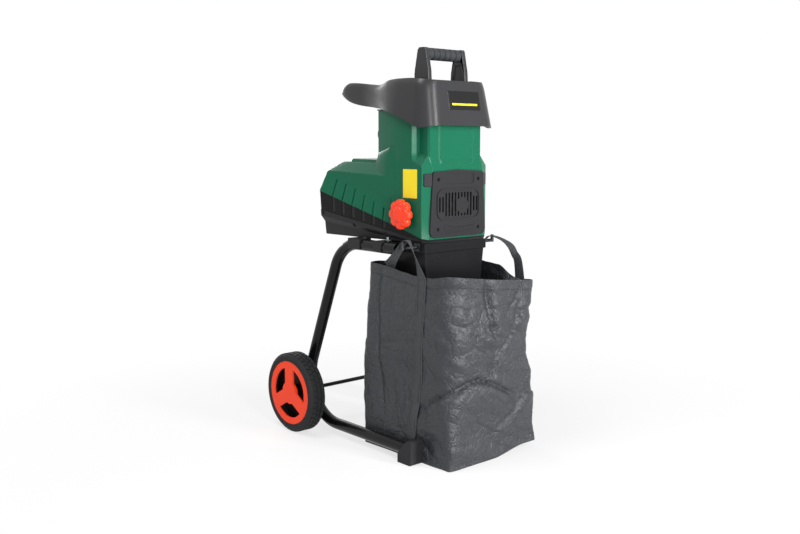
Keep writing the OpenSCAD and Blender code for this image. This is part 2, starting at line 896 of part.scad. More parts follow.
module front_housing() {
    flange_half = button_w / 2 + flange_lip + over;
    wall_y = column_back_y - shell_wall - over;
    wall_end_y = column_back_y + over;
    color("#1f6a4b") place() difference() {
        loft([for (k = [0:4]) mirrored(column_half(k, 0))]);
        loft([
            mirrored(lifted(column_half(0, shell_wall), -over)),
            for (k = [1:2]) mirrored(column_half(k, shell_wall)),
            mirrored(lifted(column_half(3, shell_wall), shell_wall)),
            mirrored(lifted(column_half(4, shell_wall), over))
        ]);
        // Openings behind the grille, to the gearbox, for the spindle and for the controls
        box([-vent_w / 2 + shell_wall, front_y - over, vent_z - vent_h / 2 + over],
            [vent_w / 2 - shell_wall, front_y + shell_wall + over, vent_z + vent_h / 2 - over]);
        box([-body_hw + 2 * shell_wall, split_y - 2 * shell_wall, seam(split_y) - 2 * shell_wall],
            [body_hw - 2 * shell_wall, split_y + over, hood_z - back_lip]);
        along_x([-body_hw - over, knob_y, knob_z]) cylinder(d = spindle_d + 4, h = shell_wall + 2 * over);
        for (x = [on_x, off_x]) box(
            [x - flange_half, wall_y, button_z - flange_half],
            [x + flange_half, wall_end_y, button_z + flange_half]);
        along_y([reset_x, wall_y, button_z])
            cylinder(d = reset_d + 2 * (flange_lip + over), h = wall_end_y - wall_y);
        along_y([selector_x, wall_y, selector_z])
            cylinder(d = selector_pin_d + 2 * play, h = wall_end_y - wall_y);
        box([inlet_x - inlet_w / 2, wall_y, inlet_z - inlet_h / 2],
            [inlet_x + inlet_w / 2, wall_end_y, inlet_z + inlet_h / 2]);
        for (at = grille_screw_at) both_sides()
            along_y([at[0], front_y - over, at[1]]) cylinder(d = screw_d + 2 * fit, h = shell_wall + 2 * over);
    }
}

// Front grille, drawn in X and Z
module grille_outline() {
    low_z = seam_z + grille_inset;
    high_z = shoulder_z - 2 * grille_inset;
    low_hw = front_low_hw - 0.5;
    high_hw = front_top_hw + play;
    r = grille_r;
    c = grille_inset;
    polygon([
        [-low_hw + r, low_z], [low_hw - r, low_z], [low_hw - c, low_z + c], [low_hw, low_z + r],
        [high_hw, high_z - c], [high_hw - c, high_z],
        [0, high_z + grille_crown],
        [-high_hw + c, high_z], [-high_hw, high_z - c], [-low_hw, low_z + r], [-low_hw + c, low_z + c]
    ]);
}

module front_grille() {
    slit = vent_pitch / 2;
    color("#2f3033") place() difference() {
        union() {
            slab_xz(0, grille_t) grille_outline();
            slab_xz(-vent_rise, over) translate([0, vent_z]) rounded(vent_w, vent_h, vent_r);
        }
        slab_xz(-vent_rise - over, 0) translate([0, vent_z])
            rounded(vent_w - 2 * vent_edge, vent_h - 2 * vent_edge, vent_r - vent_edge);
        for (i = [0:grille_slots - 1]) {
            x = (i - (grille_slots - 1) / 2) * vent_pitch;
            h = vent_h - 18 - (abs(x) > vent_w / 2 - vent_r ? vent_r : 0);
            difference() {
                box([x - slit / 2, -over, vent_z - h / 2], [x + slit / 2, grille_t + over, vent_z + h / 2]);
                along_y([roller_x, -2 * over, roller_z]) cylinder(d = boss_d, h = grille_t + 4 * over);
            }
        }
        slab_xz(-over, recess_h) translate([0, recess_z]) rounded(recess_w, recess_high, recess_r);
        for (at = grille_screw_at) both_sides() {
            along_y([at[0], -over, at[1]]) cylinder(d = screw_d + 2 * fit, h = grille_t + 2 * over);
            along_y([at[0], -over, at[1]]) cylinder(d = screw_head_d + 2 * fit, h = screw_head_h + over);
        }
    }
}

// Screw along +Z, with the top of its head at the origin
module screw(len) {
    difference() {
        union() {
            cylinder(d = screw_head_d, h = screw_head_h);
            cylinder(d = screw_d, h = len);
        }
        for (turn = [0, 90]) rotate(turn)
            translate([-slit_w / 2, -slit_len / 2, -over]) cube([slit_w, slit_len, over + slit_w]);
    }
}

module grille_screws() {
    color("#8d9093") place() for (at = grille_screw_at) both_sides()
        along_y([at[0], 0, at[1]]) screw(grille_t + screw_grip);
}

module housing_screws() {
    color("#3a3b3e") place() for (at = housing_screw_at) both_sides()
        translate([screw_face_x(at) - play / 3, at[0], at[1]]) rotate([0, -90, 0]) screw(screw_boss - 1);
}

module discharge_chute() {
    seat_z = pan_z - seat_gap;
    color("#222326") place() difference() {
        union() {
            box([-flange_hw, flange_front_y, pan_z - flange_h], [flange_hw, flange_back_y, seat_z]);
            loft([chute_ring(chute_low_z, 0), chute_ring(pan_z - flange_h + 1, 0)]);
        }
        loft([chute_ring(chute_low_z - over, shell_wall), chute_ring(seat_z + over, shell_wall)]);
    }
}

// Rectangle of the discharge chute at a height, inset by i
function chute_ring(z, i) =
    let (
        t = (z - chute_low_z) / (pan_z - flange_h - chute_low_z),
        hw = chute_low_hw + t * (chute_top_hw - chute_low_hw) - i,
        front = flange_front_y + chute_front_in * (1 - t) + chute_seat + i,
        back = flange_back_y - chute_back_in * (1 - t) - chute_seat - i
    )
    mirrored([[hw, front, z], [hw, back, z]]);

// Hopper

// Half outline of the hopper, inset by i, at share v of its height
function hopper_half(i, v) =
    let (
        hw = hopper_hw - i,
        front = hopper_front_y + i,
        r = hopper_r - i,
        lip = lip_hw - i,
        end = lip_y - i,
        nose = end - nose_len,
        plan = concat(
            [for (k = [0:2]) [(hw - r) * (k + 0.5) / 3, front]],
            [for (k = [0:5]) let (a = -90 + 18 * k) [hw - r + r * cos(a), front + r + r * sin(a)]],
            [
                for (k = [1:8])
                    let (
                        y = front + r + (nose - front - r) * k / 8,
                        t = min(1, max(0, (y - taper_start_y) / (taper_end_y - taper_start_y))),
                        s = t * t * (3 - 2 * t)
                    )
                    [hw + (lip - hw) * s, y]
            ],
            [
                for (k = [1:6]) let (a = 14.5 * k)
                    [lip * pow(cos(a), 0.7), nose + nose_len * pow(sin(a), 0.7)]
            ]
        ),
        belly = 4 * v * (1 - v),
        round_top = rim_round * pow(max(0, v - 0.75) / 0.25, 2),
        swell = lip_swell * belly
    )
    [
        for (p = plan)
            let (
                rear = min(1, max(0, (p.y - lip_from_y) / lip_run)),
                lean = (1 - rear) * v,
                low = lookup(p.y, hopper_low),
                high = lookup(p.y, hopper_top),
                x = p.x * (1 - (hopper_draft * lean + round_top - swell * rear) / hopper_hw),
                y = p.y + hopper_front_draft * v * min(1, max(0, (front_end_y - p.y) / front_run))
                    - rear * (1 - belly) * lip_tuck
            )
            [x, y, low + (high - low) * v]
    ];

module hopper_shell() {
    steps = [0, 0.12, 0.35, 0.6, 0.85, 1];
    color("#3d3e41") place() loop_skin([
        for (v = steps) mirrored(hopper_half(0, v)),
        for (k = [len(steps) - 1:-1:0]) mirrored(hopper_half(hopper_wall, steps[k]))
    ]);
}

// Quadrilateral funnel from the throat up to the mouth, inset by i
function mouth_ring(z, i) =
    let (
        t = (z - column_z) / (deck_z - column_z),
        front = throat_front_y + t * (deck_back_y - throat_front_y) + i,
        back = throat_back_y + t * (mouth_back_y - throat_back_y) - i,
        low_hw = throat_hw + funnel_t,
        front_hw = low_hw + t * (mouth_hw - low_hw) - i,
        rear_hw = low_hw + t * (lip_hw - mouth_inset - low_hw) - i
    )
    mirrored([[front_hw, front, z], [rear_hw, back, z]]);

module hopper_deck() {
    rest_z = column_z + seat_gap;
    color("#333437") place() difference() {
        union() {
            plate_at(deck_z - deck_t, deck_t) polygon(deck_outline());
            plate_at(rest_z, 3) polygon([for (p = mirrored(column_half(4, -2))) [p.x, p.y]]);
            loft([mouth_ring(rest_z, 0), mouth_ring(deck_z, 0)]);
        }
        loft([mouth_ring(rest_z - over, funnel_t), mouth_ring(deck_z + over, funnel_t)]);
    }
}

// Deck plate between the front of the shell and the mouth
function deck_outline() =
    let (
        half = [for (p = hopper_half(hopper_wall + play, deck_share)) if (p.y < deck_back_y + 8) [p.x, p.y]],
        last = half[len(half) - 1]
    )
    concat(
        half, [[last.x, deck_back_y + 8], [-last.x, deck_back_y + 8]],
        [for (k = [len(half) - 1:-1:0]) [-half[k].x, half[k].y]]
    );

module carry_handle() {
    top = grip_z + post_top;
    color("#2a2b2e") place() {
        both_sides() difference() {
            slab_yz(handle_hw - post_t, handle_hw) polygon([
                [handle_y - post_foot, deck_z], [handle_y + post_foot, deck_z],
                [handle_y + post_foot - 2, deck_z + 36], [handle_y + post_head, top - 5],
                [handle_y + post_head - 5, top], [handle_y - post_head + 3, top],
                [handle_y - post_head, top - 3], [handle_y - post_foot + 2, deck_z + 36]
            ]);
            slab_yz(handle_hw - post_t - over, handle_hw - post_t + 3) polygon([
                [handle_y - post_foot + 8, deck_z + 8], [handle_y + post_foot - 8, deck_z + 8],
                [handle_y + post_head - 5, grip_z - 22], [handle_y - post_head + 5, grip_z - 22]
            ]);
        }
        along_x([-handle_hw + post_t / 2, handle_y, grip_z]) cylinder(d = bar_d, h = 2 * handle_hw - post_t);
    }
}

module handle_grip() {
    len = 2 * (handle_hw - post_t - play);
    pitch = len / grip_rings;
    color("#35363a") place() along_x([-len / 2, handle_y, grip_z]) difference() {
        cylinder(d = grip_d, h = len);
        translate([0, 0, -over]) cylinder(d = bar_d + 2 * fit, h = len + 2 * over);
        for (k = [1:grip_rings - 1]) translate([0, 0, k * pitch - 1.5]) pipe(grip_d + 4, grip_d - 4, 3);
    }
}

// Rectangle of the feed funnel at a height, inset by i
function funnel_ring(z, i) =
    let (
        t = (z - chamber_z) / (column_z - chamber_z),
        left = chamber_left + 4 + t * (-throat_hw - 6 - chamber_left - 4) + i,
        right = chamber_right - 4 + t * (throat_hw + 6 - chamber_right + 4) - i,
        front = chamber_front_y + 4 + t * (throat_front_y - 6 - chamber_front_y - 4) + i,
        back = chamber_back_y - 8 + t * (throat_back_y + 6 - chamber_back_y + 8) - i
    )
    [[right, front, z], [right, back, z], [left, back, z], [left, front, z]];

module feed_funnel() {
    color("#4a4c4f") place() difference() {
        loft([funnel_ring(chamber_z + seat_gap, 0), funnel_ring(column_z, 0)]);
        loft([funnel_ring(chamber_z - over, funnel_t), funnel_ring(column_z + over, funnel_t)]);
    }
}

// Cutter

module cutting_chamber() {
    color("#8f9296") place() difference() {
        union() {
            box([chamber_left, chamber_front_y, floor_z + seat_gap],
                [chamber_right, chamber_back_y, chamber_z]);
            along_y([roller_x, front_bearing_y - 3, roller_z])
                cylinder(d = bearing_d + 12, h = chamber_front_y - front_bearing_y + 4);
        }
        box([chamber_left + chamber_wall, chamber_front_y + chamber_wall, floor_z - over],
            [chamber_right - chamber_wall, chamber_back_y - bearing_w, chamber_z + over]);
        for (y = [front_bearing_y, rear_bearing_y])
            along_y([roller_x, y, roller_z]) cylinder(d = bearing_d + 2 * fit, h = bearing_w + 10);
        along_y([roller_x, 0, roller_z]) cylinder(d = roller_shoulder_d + 4, h = chamber_front_y + 20);
        along_x([chamber_left - over, knob_y, knob_z])
            cylinder(d = spindle_d + 2 * fit, h = chamber_wall + 2 * over);
    }
}

module roller_bearings() {
    color("#b9bcc0") place() for (y = [front_bearing_y + seat_gap, rear_bearing_y + seat_gap])
        along_y([roller_x, y, roller_z]) pipe(bearing_d, shaft_d + 2 * fit, bearing_w - 2 * seat_gap);
}

module roller_shaft() {
    start = front_bearing_y - 1;
    color("#a8abaf") place() {
        along_y([roller_x, start, roller_z])
            cylinder(d = shaft_d, h = out_gear_y + out_gear_w + 6 - start);
        along_y([roller_x, roller_y - 1, roller_z]) cylinder(d = roller_shoulder_d, h = roller_len + 1);
    }
}

// Disc of the cutting roller with hooked teeth
module roller_disc() {
    r = roller_d / 2;
    root = r - tooth_h;
    teeth = 8;
    polygon([
        for (k = [0:teeth - 1]) let (a = 360 / teeth * k)
            each [
                [root * cos(a), root * sin(a)], [r * cos(a + 3), r * sin(a + 3)],
                [r * cos(a + 11), r * sin(a + 11)], [root * cos(a + 27), root * sin(a + 27)]
            ]
    ]);
}

module cutting_roller() {
    discs = 4;
    w = roller_len / discs;
    color("#74777b") place() along_y([roller_x, roller_y, roller_z]) difference() {
        union() {
            for (k = [0:discs - 1]) translate([0, 0, k * w]) rotate(11.25 * k) linear_extrude(w) roller_disc();
            cylinder(d = roller_d - 2 * tooth_h - 1, h = roller_len);
        }
        translate([0, 0, -over]) cylinder(d = roller_shoulder_d + 2 * fit, h = roller_len + 2 * over);
    }
}

module pressure_plate() {
    plate_y = roller_y + roller_len / 2;
    color("#9a9da1") place() difference() {
        union() {
            box([plate_face_x - plate_t, plate_y - plate_len / 2, roller_z - plate_h / 2],
                [plate_face_x, plate_y + plate_len / 2, roller_z + plate_h / 2]);
            along_x([plate_face_x - plate_t - plate_boss, knob_y, knob_z])
                cylinder(d = spindle_d + 12, h = plate_boss + over);
        }
        along_x([plate_face_x - plate_t - plate_boss - over, knob_y, knob_z])
            cylinder(d = spindle_d + 2 * fit,
                h = spindle_tip_x - plate_face_x + plate_t + plate_boss + 2 * over);
        for (z = [-24, -8, 8, 24]) box(
            [plate_face_x - 4, plate_y - plate_len, roller_z + z - 3],
            [plate_face_x + over, plate_y + plate_len, roller_z + z + 3]);
    }
}

module adjusting_spindle() {
    start = -body_hw - 12;
    color("#b0b3b6") place()
        along_x([start, knob_y, knob_z]) cylinder(d = spindle_d, h = spindle_tip_x - start);
}

module adjusting_knob() {
    seat_x = body_hw + 3;
    h = knob_x - seat_x;
    lobe = 9;
    color("#fb4f33") place() translate([-seat_x, knob_y, knob_z]) rotate([0, -90, 0]) difference() {
        union() {
            cylinder(d = knob_d - 2 * lobe, h = h);
            for (k = [0:knob_lobes - 1]) rotate(360 / knob_lobes * k)
                translate([knob_d / 2 - lobe, 0, 3]) cylinder(r = lobe, h = h - 6);
        }
        translate([0, 0, h - 4]) cylinder(d = knob_d - 4 * lobe, h = 5);
        translate([0, 0, -over]) cylinder(d = spindle_d + 2 * fit, h = 9 + over + fit);
    }
}

// Drive

function involute(a) = tan(a) * 180 / PI - a;

// Half the angle of a tooth at radius r
function tooth_half(teeth, m, r) =
    let (pitch_r = m * teeth / 2, base_r = pitch_r * cos(gear_pa))
    90 / teeth - gear_backlash / pitch_r * 180 / PI + involute(gear_pa) - involute(acos(min(1, base_r / r)));

// Outline of an involute gear with a tooth on the +X axis
module gear(teeth, m) {
    pitch_r = m * teeth / 2;
    tip_r = pitch_r + gear_tip * m;
    root_r = pitch_r - gear_root * m;
    start_r = max(pitch_r * cos(gear_pa), root_r + 0.05);
    steps = 3;
    radii = [for (k = [0:steps]) start_r + (tip_r - start_r) * k / steps];
    polygon([
        for (t = [0:teeth - 1]) let (a = 360 / teeth * t)
            each [
                for (q = concat(
                    [[root_r, -tooth_half(teeth, m, start_r)]],
                    [for (r = radii) [r, -tooth_half(teeth, m, r)]],
                    [for (k = [steps:-1:0]) [radii[k], tooth_half(teeth, m, radii[k])]],
                    [[root_r, tooth_half(teeth, m, start_r)]]
                )) [q[0] * cos(a + q[1]), q[0] * sin(a + q[1])]
            ]
    ]);
}

// Gear from y0, w wide, about an axis at x and z, turned so that a tooth points along the angle
module gear_at(x, z, y0, w, teeth, m, angle) {
    translate([x, y0 + w, z]) rotate([90, 0, 0]) rotate(angle) linear_extrude(w) gear(teeth, m);
}

// Two round lobes of the gearbox, grown by e
module case_lobes(y0, y1, e) {
    along_y([roller_x, y0, roller_z]) cylinder(r = case_out_r + e, h = y1 - y0);
    along_y([lay_x, y0, lay_z]) cylinder(r = case_lay_r + e, h = y1 - y0);
}

module gearbox_case() {
    color("#a5a8ac") place() difference() {
        union() {
            difference() {
                case_lobes(case_y, case_end_y, case_wall);
                case_lobes(case_y + case_wall, case_end_y + over, 0);
            }
            along_y([lay_x, case_y, lay_z]) cylinder(d = bush_d + 8, h = case_wall + bush_len);
        }
        along_y([roller_x, case_y - over, roller_z]) cylinder(d = shaft_d + 4, h = case_wall + 2 * over);
        along_y([lay_x, case_y + case_wall, lay_z]) cylinder(d = bush_d + 2 * fit, h = 20);
    }
}

module gearbox_cover() {
    y0 = case_end_y + seat_gap;
    hole = motor_shaft_d + 2;
    color("#989b9f") place() difference() {
        union() {
            case_lobes(y0, cover_end_y, case_wall);
            along_y([motor_x, y0, motor_z]) cylinder(d = motor_d, h = cover_end_y - y0);
            along_y([motor_x, y0, motor_z])
                cylinder(d = motor_bearing_d + 10, h = cover_end_y + motor_bearing_w - y0);
        }
        along_y([motor_x, y0 - over, motor_z]) cylinder(d = hole, h = 40);
        along_y([motor_x, cover_end_y, motor_z]) cylinder(d = motor_bearing_d + 2 * fit, h = 40);
        along_y([lay_x, y0 - over, lay_z]) cylinder(d = bush_d + 2 * fit, h = bush_len + over - seat_gap);
    }
}

module output_gear() {
    color("#85888c") place() difference() {
        gear_at(roller_x, roller_z, out_gear_y, out_gear_w, out_teeth, mod_out, lay_angle);
        along_y([roller_x, 0, roller_z]) cylinder(d = shaft_d + 2 * fit, h = cover_end_y);
    }
}

module layshaft() {
    gap_turn = 180 / pinion_teeth;
    color("#909398") place() {
        gear_at(lay_x, lay_z, out_gear_y - 1, lay_gear_y - out_gear_y + 1, pinion_teeth, mod_out,
            lay_angle + 180 + gap_turn);
        gear_at(lay_x, lay_z, lay_gear_y, lay_gear_w, lay_teeth, mod_in, motor_angle);
        along_y([lay_x, case_y + case_wall + play, lay_z])
            cylinder(d = lay_d, h = case_end_y + bush_len - 2 * play - case_y - case_wall);
    }
}

module layshaft_bushes() {
    color("#b08d4f") place() for (y = [case_y + case_wall + seat_gap, case_end_y + 2 * seat_gap])
        along_y([lay_x, y, lay_z]) pipe(bush_d, lay_d + 2 * fit, bush_len - 3 * seat_gap);
}

module motor_shell() {
    color("#5d6064") place() along_y([motor_x, cover_end_y + seat_gap, motor_z])
        pipe(motor_d, stator_d + 2 * fit, shell_end_y - cover_end_y - 2 * seat_gap);
}

module stator_core() {
    color("#6e7175") place() along_y([motor_x, stator_y, motor_z]) pipe(stator_d, stator_bore, stator_len);
}

module stator_windings() {
    color("#b4672f") place() for (y = [stator_y - winding_len - seat_gap, stator_end_y + seat_gap])
        along_y([motor_x, y, motor_z]) pipe(stator_d - 10, stator_bore + 8, winding_len);
}

module motor_rotor() {
    front = lay_gear_y - 2;
    color("#8a8d91") place() {
        gear_at(motor_x, motor_z, front, lay_gear_w + 4, pinion_teeth, mod_in,
            motor_angle + 180 + 180 / pinion_teeth);
        along_y([motor_x, front + lay_gear_w + 4, motor_z])
            cylinder(d = motor_shaft_d, h = fan_y + fan_len + 4 - front - lay_gear_w - 4);
        along_y([motor_x, stator_y, motor_z]) cylinder(d = stator_bore - 2 * air_gap, h = stator_len);
    }
}

module motor_bearings() {
    color("#b9bcc0") place() for (y = [cover_end_y + seat_gap, shell_end_y - motor_bearing_w + seat_gap])
        along_y([motor_x, y, motor_z])
            pipe(motor_bearing_d, motor_shaft_d + 2 * fit, motor_bearing_w - 2 * seat_gap);
}

module motor_end_shield() {
    color("#989b9f") place() difference() {
        union() {
            along_y([motor_x, shell_end_y, motor_z]) cylinder(d = motor_d, h = shield_t);
            along_y([motor_x, shell_end_y - motor_bearing_w, motor_z])
                cylinder(d = motor_bearing_d + 10, h = motor_bearing_w + over);
        }
        along_y([motor_x, shell_end_y - motor_bearing_w - over, motor_z])
            cylinder(d = motor_bearing_d + 2 * fit, h = motor_bearing_w + over);
        along_y([motor_x, shell_end_y - over, motor_z])
            cylinder(d = motor_shaft_d + 2, h = shield_t + 2 * over);
        for (k = [0:5]) along_y([motor_x, 0, motor_z]) rotate(60 * k)
            translate([motor_d / 3, 0, shell_end_y - over])
                cylinder(d = shield_hole_d, h = shield_t + 2 * over);
    }
}

module cooling_fan() {
    color("#2e3033") place() along_y([motor_x, fan_y, motor_z]) difference() {
        union() {
            cylinder(d = fan_hub_d, h = fan_len);
            cylinder(d = fan_d, h = 3);
            for (k = [0:fan_blades - 1]) rotate(360 / fan_blades * k)
                translate([fan_hub_d / 2 - 1, -1.25, 0]) cube([(fan_d - fan_hub_d) / 2 - 1, 2.5, fan_len]);
        }
        translate([0, 0, -over]) cylinder(d = motor_shaft_d + 2 * fit, h = fan_len + 2 * over);
    }
}

module run_capacitor() {
    color("#c9cccf") place() along_y([capacitor_x, capacitor_y, floor_z + capacitor_d / 2 + play]) {
        cylinder(d = capacitor_d, h = capacitor_len);
        translate([0, 0, -8]) cylinder(d = 12, h = 9);
    }
}

// Controls

module control_panel() {
    y0 = column_back_y + seat_gap;
    y1 = y0 + panel_t + over;
    color("#26272a") place() difference() {
        slab_xz(y0, y0 + panel_t) translate([0, panel_low_z + panel_h / 2])
            rounded(2 * panel_hw, panel_h, panel_r);
        for (x = [on_x, off_x]) box(
            [x - button_w / 2 - play, y0 - over, button_z - button_w / 2 - play],
            [x + button_w / 2 + play, y1, button_z + button_w / 2 + play]);
        along_y([reset_x, y0 - over, button_z]) cylinder(d = reset_d + 2 * play, h = y1 - y0 + over);
        along_y([selector_x, y0 - over, selector_z]) cylinder(d = selector_pin_d + 2 * fit, h = y1 - y0 + over);
        box([inlet_x - inlet_w / 2, y0 - over, inlet_z - inlet_h / 2],
            [inlet_x + inlet_w / 2, y1, inlet_z + inlet_h / 2]);
    }
}

// Square push cap with a flange behind the panel
module push_button(x) {
    back = column_back_y - 1 - button_flange;
    w = button_w / 2;
    box([x - w, back, button_z - w],
        [x + w, column_back_y + panel_t + button_rise, button_z + w]);
    f = w + flange_lip;
    box([x - f, back, button_z - f], [x + f, back + button_flange, button_z + f]);
}

module on_button() { color("#2f9a4a") place() push_button(on_x); }

module off_button() { color("#c8342c") place() push_button(off_x); }

module direction_selector() {
    front = column_back_y + panel_t + seat_gap + play;
    color("#1d1e20") place() {
        along_y([selector_x, front, selector_z]) cylinder(d = selector_d, h = selector_h - 5);
        box([selector_x - 5, front, selector_z - selector_d / 2 + 3],
            [selector_x + 5, front + selector_h, selector_z + selector_d / 2 - 3]);
        along_y([selector_x, column_back_y - 10, selector_z]) cylinder(d = selector_pin_d, h = 14);
    }
}

module reset_button() {
    back = column_back_y - 1 - button_flange;
    color("#1d1e20") place() {
        along_y([reset_x, back, button_z])
            cylinder(d = reset_d, h = column_back_y + panel_t + button_rise - back);
        along_y([reset_x, back, button_z]) cylinder(d = reset_d + 2 * flange_lip, h = button_flange);
    }
}

module power_inlet() {
    face = column_back_y + panel_t + seat_gap;
    color("#1d1e20") place() translate([inlet_x, 0, inlet_z]) {
        difference() {
            union() {
                slab_xz(face, face + inlet_wall)
                    rounded(inlet_w + inlet_rim, inlet_h + inlet_rim, inlet_rim / 2);
                slab_xz(face - inlet_depth, face + over) square([inlet_w - 1, inlet_h - 1], center = true);
            }
            slab_xz(face - inlet_depth + inlet_wall, face + inlet_wall + over)
                square([inlet_w - 1 - 2 * inlet_wall, inlet_h - 1 - 2 * inlet_wall], center = true);
        }
        for (k = [-1:1]) along_y([k * pin_pitch, face - inlet_depth + inlet_wall - over, k == 0 ? 3 : -3])
            cylinder(d = pin_d, h = inlet_depth - inlet_rim);
    }
}

// Saddles, hooks and bag

module tube_saddles() {
    color("#26272a") place() for (at = saddle_at) both_sides() difference() {
        box([top_x - saddle_in, at[0], saddle_z], [top_x + saddle_out, at[0] + at[1], pan_z - seat_gap]);
        leg_plane() leg_bar(tube_d + 2 * fit, over);
        translate([saddle_bolt_x, at[0] + at[1] / 2, saddle_z - over])
            cylinder(d = bolt_d + 2 * fit, h = pan_z - saddle_z + over);
    }
}

module saddle_bolts() {
    color("#9b9ea2") place() for (at = saddle_at) both_sides()
        translate([saddle_bolt_x, at[0] + at[1] / 2, saddle_z - bolt_head_h]) {
            cylinder(d = bolt_head_d, h = bolt_head_h - seat_gap, $fn = 6);
            cylinder(d = bolt_d, h = floor_z - saddle_z + bolt_head_h + bolt_end);
        }
}

module bag_hooks() {
    x0 = flange_hw + seat_gap;
    color("#242528") place() both_sides() {
        box([x0, hook_y - hook_plate_w / 2, hook_z - hook_plate_w / 2],
            [x0 + hook_plate, hook_y + hook_plate_w / 2, pan_z - seat_gap]);
        along_x([x0, hook_y, hook_z]) cylinder(d = hook_d, h = hook_x - x0);
        translate([hook_x, hook_y, hook_z - hook_d / 2]) cylinder(d = hook_d, h = hook_d / 2 + hook_tip);
    }
}

// Point k of the bag's outline at share v of its height, inset by i
function bag_point(k, v, i) =
    let (
        a = 360 * (k + 0.5) / bag_points,
        s = sign(cos(a)) * pow(abs(cos(a)), bag_power),
        t = sign(sin(a)) * pow(abs(sin(a)), bag_power),
        most = pow(cos(180 / bag_points), bag_power),
        mid = (bag_back - bag_front) / 2,
        y = mid + t / most * ((bag_back + bag_front) / 2 - i - (v > 0.5 ? 5 * (v - 0.5) : 0)),
        rim = bag_h + rim_back * max(0, t) - max(0, -t) * (rim_front + rim_tilt * s),
        reach = max(0, min(1, (-30 - y) / 60)) * max(0, s),
        x = s / most * (bag_hw - i - 4 * v) + bag_bulge * reach * (1 - 0.45 * v)
    )
    [x, y, bag_z + (i > 0 ? i : 0) + (rim - (i > 0 ? i : 0)) * v];

module collection_bag() {
    n = bag_points;
    rows = [for (k = [0:bag_rows]) k / bag_rows];
    rings = concat(
        [for (v = rows) [for (k = [0:n - 1]) bag_point(k, v, 0)]],
        [for (j = [bag_rows:-1:0]) [for (k = [0:n - 1]) bag_point(k, rows[j], bag_t)]]
    );
    color("#515355") place() loft(rings);
}

// Right webbing loop over a hook, a flat arch that leans out from the bag past the upper tube
module bag_strap(front, back) {
    peak = strap_low_z + (hook_z + hook_d / 2 + 2 * play - strap_low_z) / cos(strap_lean);
    half = web_w / 2;
    crown = 12;
    fold = web_w * 0.8;
    translate([bag_hw + play, 0, strap_low_z]) rotate([0, strap_lean, 0]) translate([0, 0, -strap_low_z])
        slab_yz(0, web_t) difference() {
            polygon([
                [front - half, strap_low_z], [front - half, strap_bend_z + crown / 3],
                [hook_y - crown, peak + fold - crown / 4], [hook_y, peak + fold],
                [hook_y + crown, peak + fold - crown / 4],
                [back + half, strap_bend_z + crown / 3], [back + half, strap_low_z]
            ]);
            polygon([
                [front + half, strap_low_z - over], [front + half, strap_bend_z],
                [hook_y - crown, peak - crown / 4], [hook_y, peak],
                [hook_y + crown, peak - crown / 4], [back - half, strap_bend_z],
                [back - half, strap_low_z - over]
            ]);
        }
}

module bag_strap_left() { color("#3a3b3d") place() on_side(-1) bag_strap(strap_front_y, strap_back_y); }

module bag_strap_right() { color("#3a3b3d") place() bag_strap(strap_front_y, strap_back_y); }

leg(-1);  // leg_left
leg(1);  // leg_right
base_tube(-1);  // base_tube_left
base_tube(1);  // base_tube_right
foot(-1);  // foot_left
foot(1);  // foot_right
axle();
axle_spacers();
axle_clips();
wheel_rim(-1);  // wheel_rim_left
wheel_rim(1);  // wheel_rim_right
tyre(-1);  // tyre_left
tyre(1);  // tyre_right
wheel_cover(-1);  // wheel_cover_left
wheel_cover(1);  // wheel_cover_right
tube_saddles();
saddle_bolts();
base_pan();
rear_hood();
front_housing();
front_grille();
grille_screws();
housing_screws();
discharge_chute();
hopper_shell();
hopper_deck();
carry_handle();
handle_grip();
feed_funnel();
cutting_chamber();
roller_bearings();
roller_shaft();
cutting_roller();
pressure_plate();
adjusting_spindle();
adjusting_knob();
gearbox_case();
gearbox_cover();
output_gear();
layshaft();
layshaft_bushes();
motor_shell();
stator_core();
stator_windings();
motor_rotor();
motor_bearings();
motor_end_shield();
cooling_fan();
run_capacitor();
control_panel();
on_button();
off_button();
direction_selector();
reset_button();
power_inlet();
bag_hooks();
collection_bag();
bag_strap_left();
bag_strap_right();
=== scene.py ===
"""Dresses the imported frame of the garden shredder: shells, hopper, wheels, bag, finishes and a studio."""
import json
import math

import bmesh
import bpy
from mathutils import Matrix, Vector, noise
from mathutils.bvhtree import BVHTree

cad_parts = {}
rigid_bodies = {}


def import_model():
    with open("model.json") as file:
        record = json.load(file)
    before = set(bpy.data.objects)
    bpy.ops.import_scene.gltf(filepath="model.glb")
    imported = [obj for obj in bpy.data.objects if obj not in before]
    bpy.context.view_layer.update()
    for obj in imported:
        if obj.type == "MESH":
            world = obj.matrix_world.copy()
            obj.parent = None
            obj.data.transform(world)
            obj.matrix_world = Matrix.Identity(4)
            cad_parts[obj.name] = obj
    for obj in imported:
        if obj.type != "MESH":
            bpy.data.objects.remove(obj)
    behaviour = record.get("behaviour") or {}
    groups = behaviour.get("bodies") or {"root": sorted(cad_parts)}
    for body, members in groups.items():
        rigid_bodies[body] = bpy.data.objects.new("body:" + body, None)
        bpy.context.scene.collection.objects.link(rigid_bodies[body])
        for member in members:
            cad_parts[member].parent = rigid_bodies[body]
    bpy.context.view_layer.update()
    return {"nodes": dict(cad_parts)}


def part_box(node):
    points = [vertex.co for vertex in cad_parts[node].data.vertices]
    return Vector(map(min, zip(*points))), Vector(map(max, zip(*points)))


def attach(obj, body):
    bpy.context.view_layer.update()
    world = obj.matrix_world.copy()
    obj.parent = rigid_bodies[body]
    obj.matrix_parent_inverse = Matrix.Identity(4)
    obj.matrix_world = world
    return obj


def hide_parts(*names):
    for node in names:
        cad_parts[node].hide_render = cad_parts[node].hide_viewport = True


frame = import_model()

bl_info = {
    "name": "Garden shredder",
    "version": (1, 0, 0),
    "blender": (4, 5, 0),
    "location": "View3D > Sidebar > Shredder",
    "description": "Dresses the CAD frame of a garden shredder with finished pieces",
    "category": "Object",
}

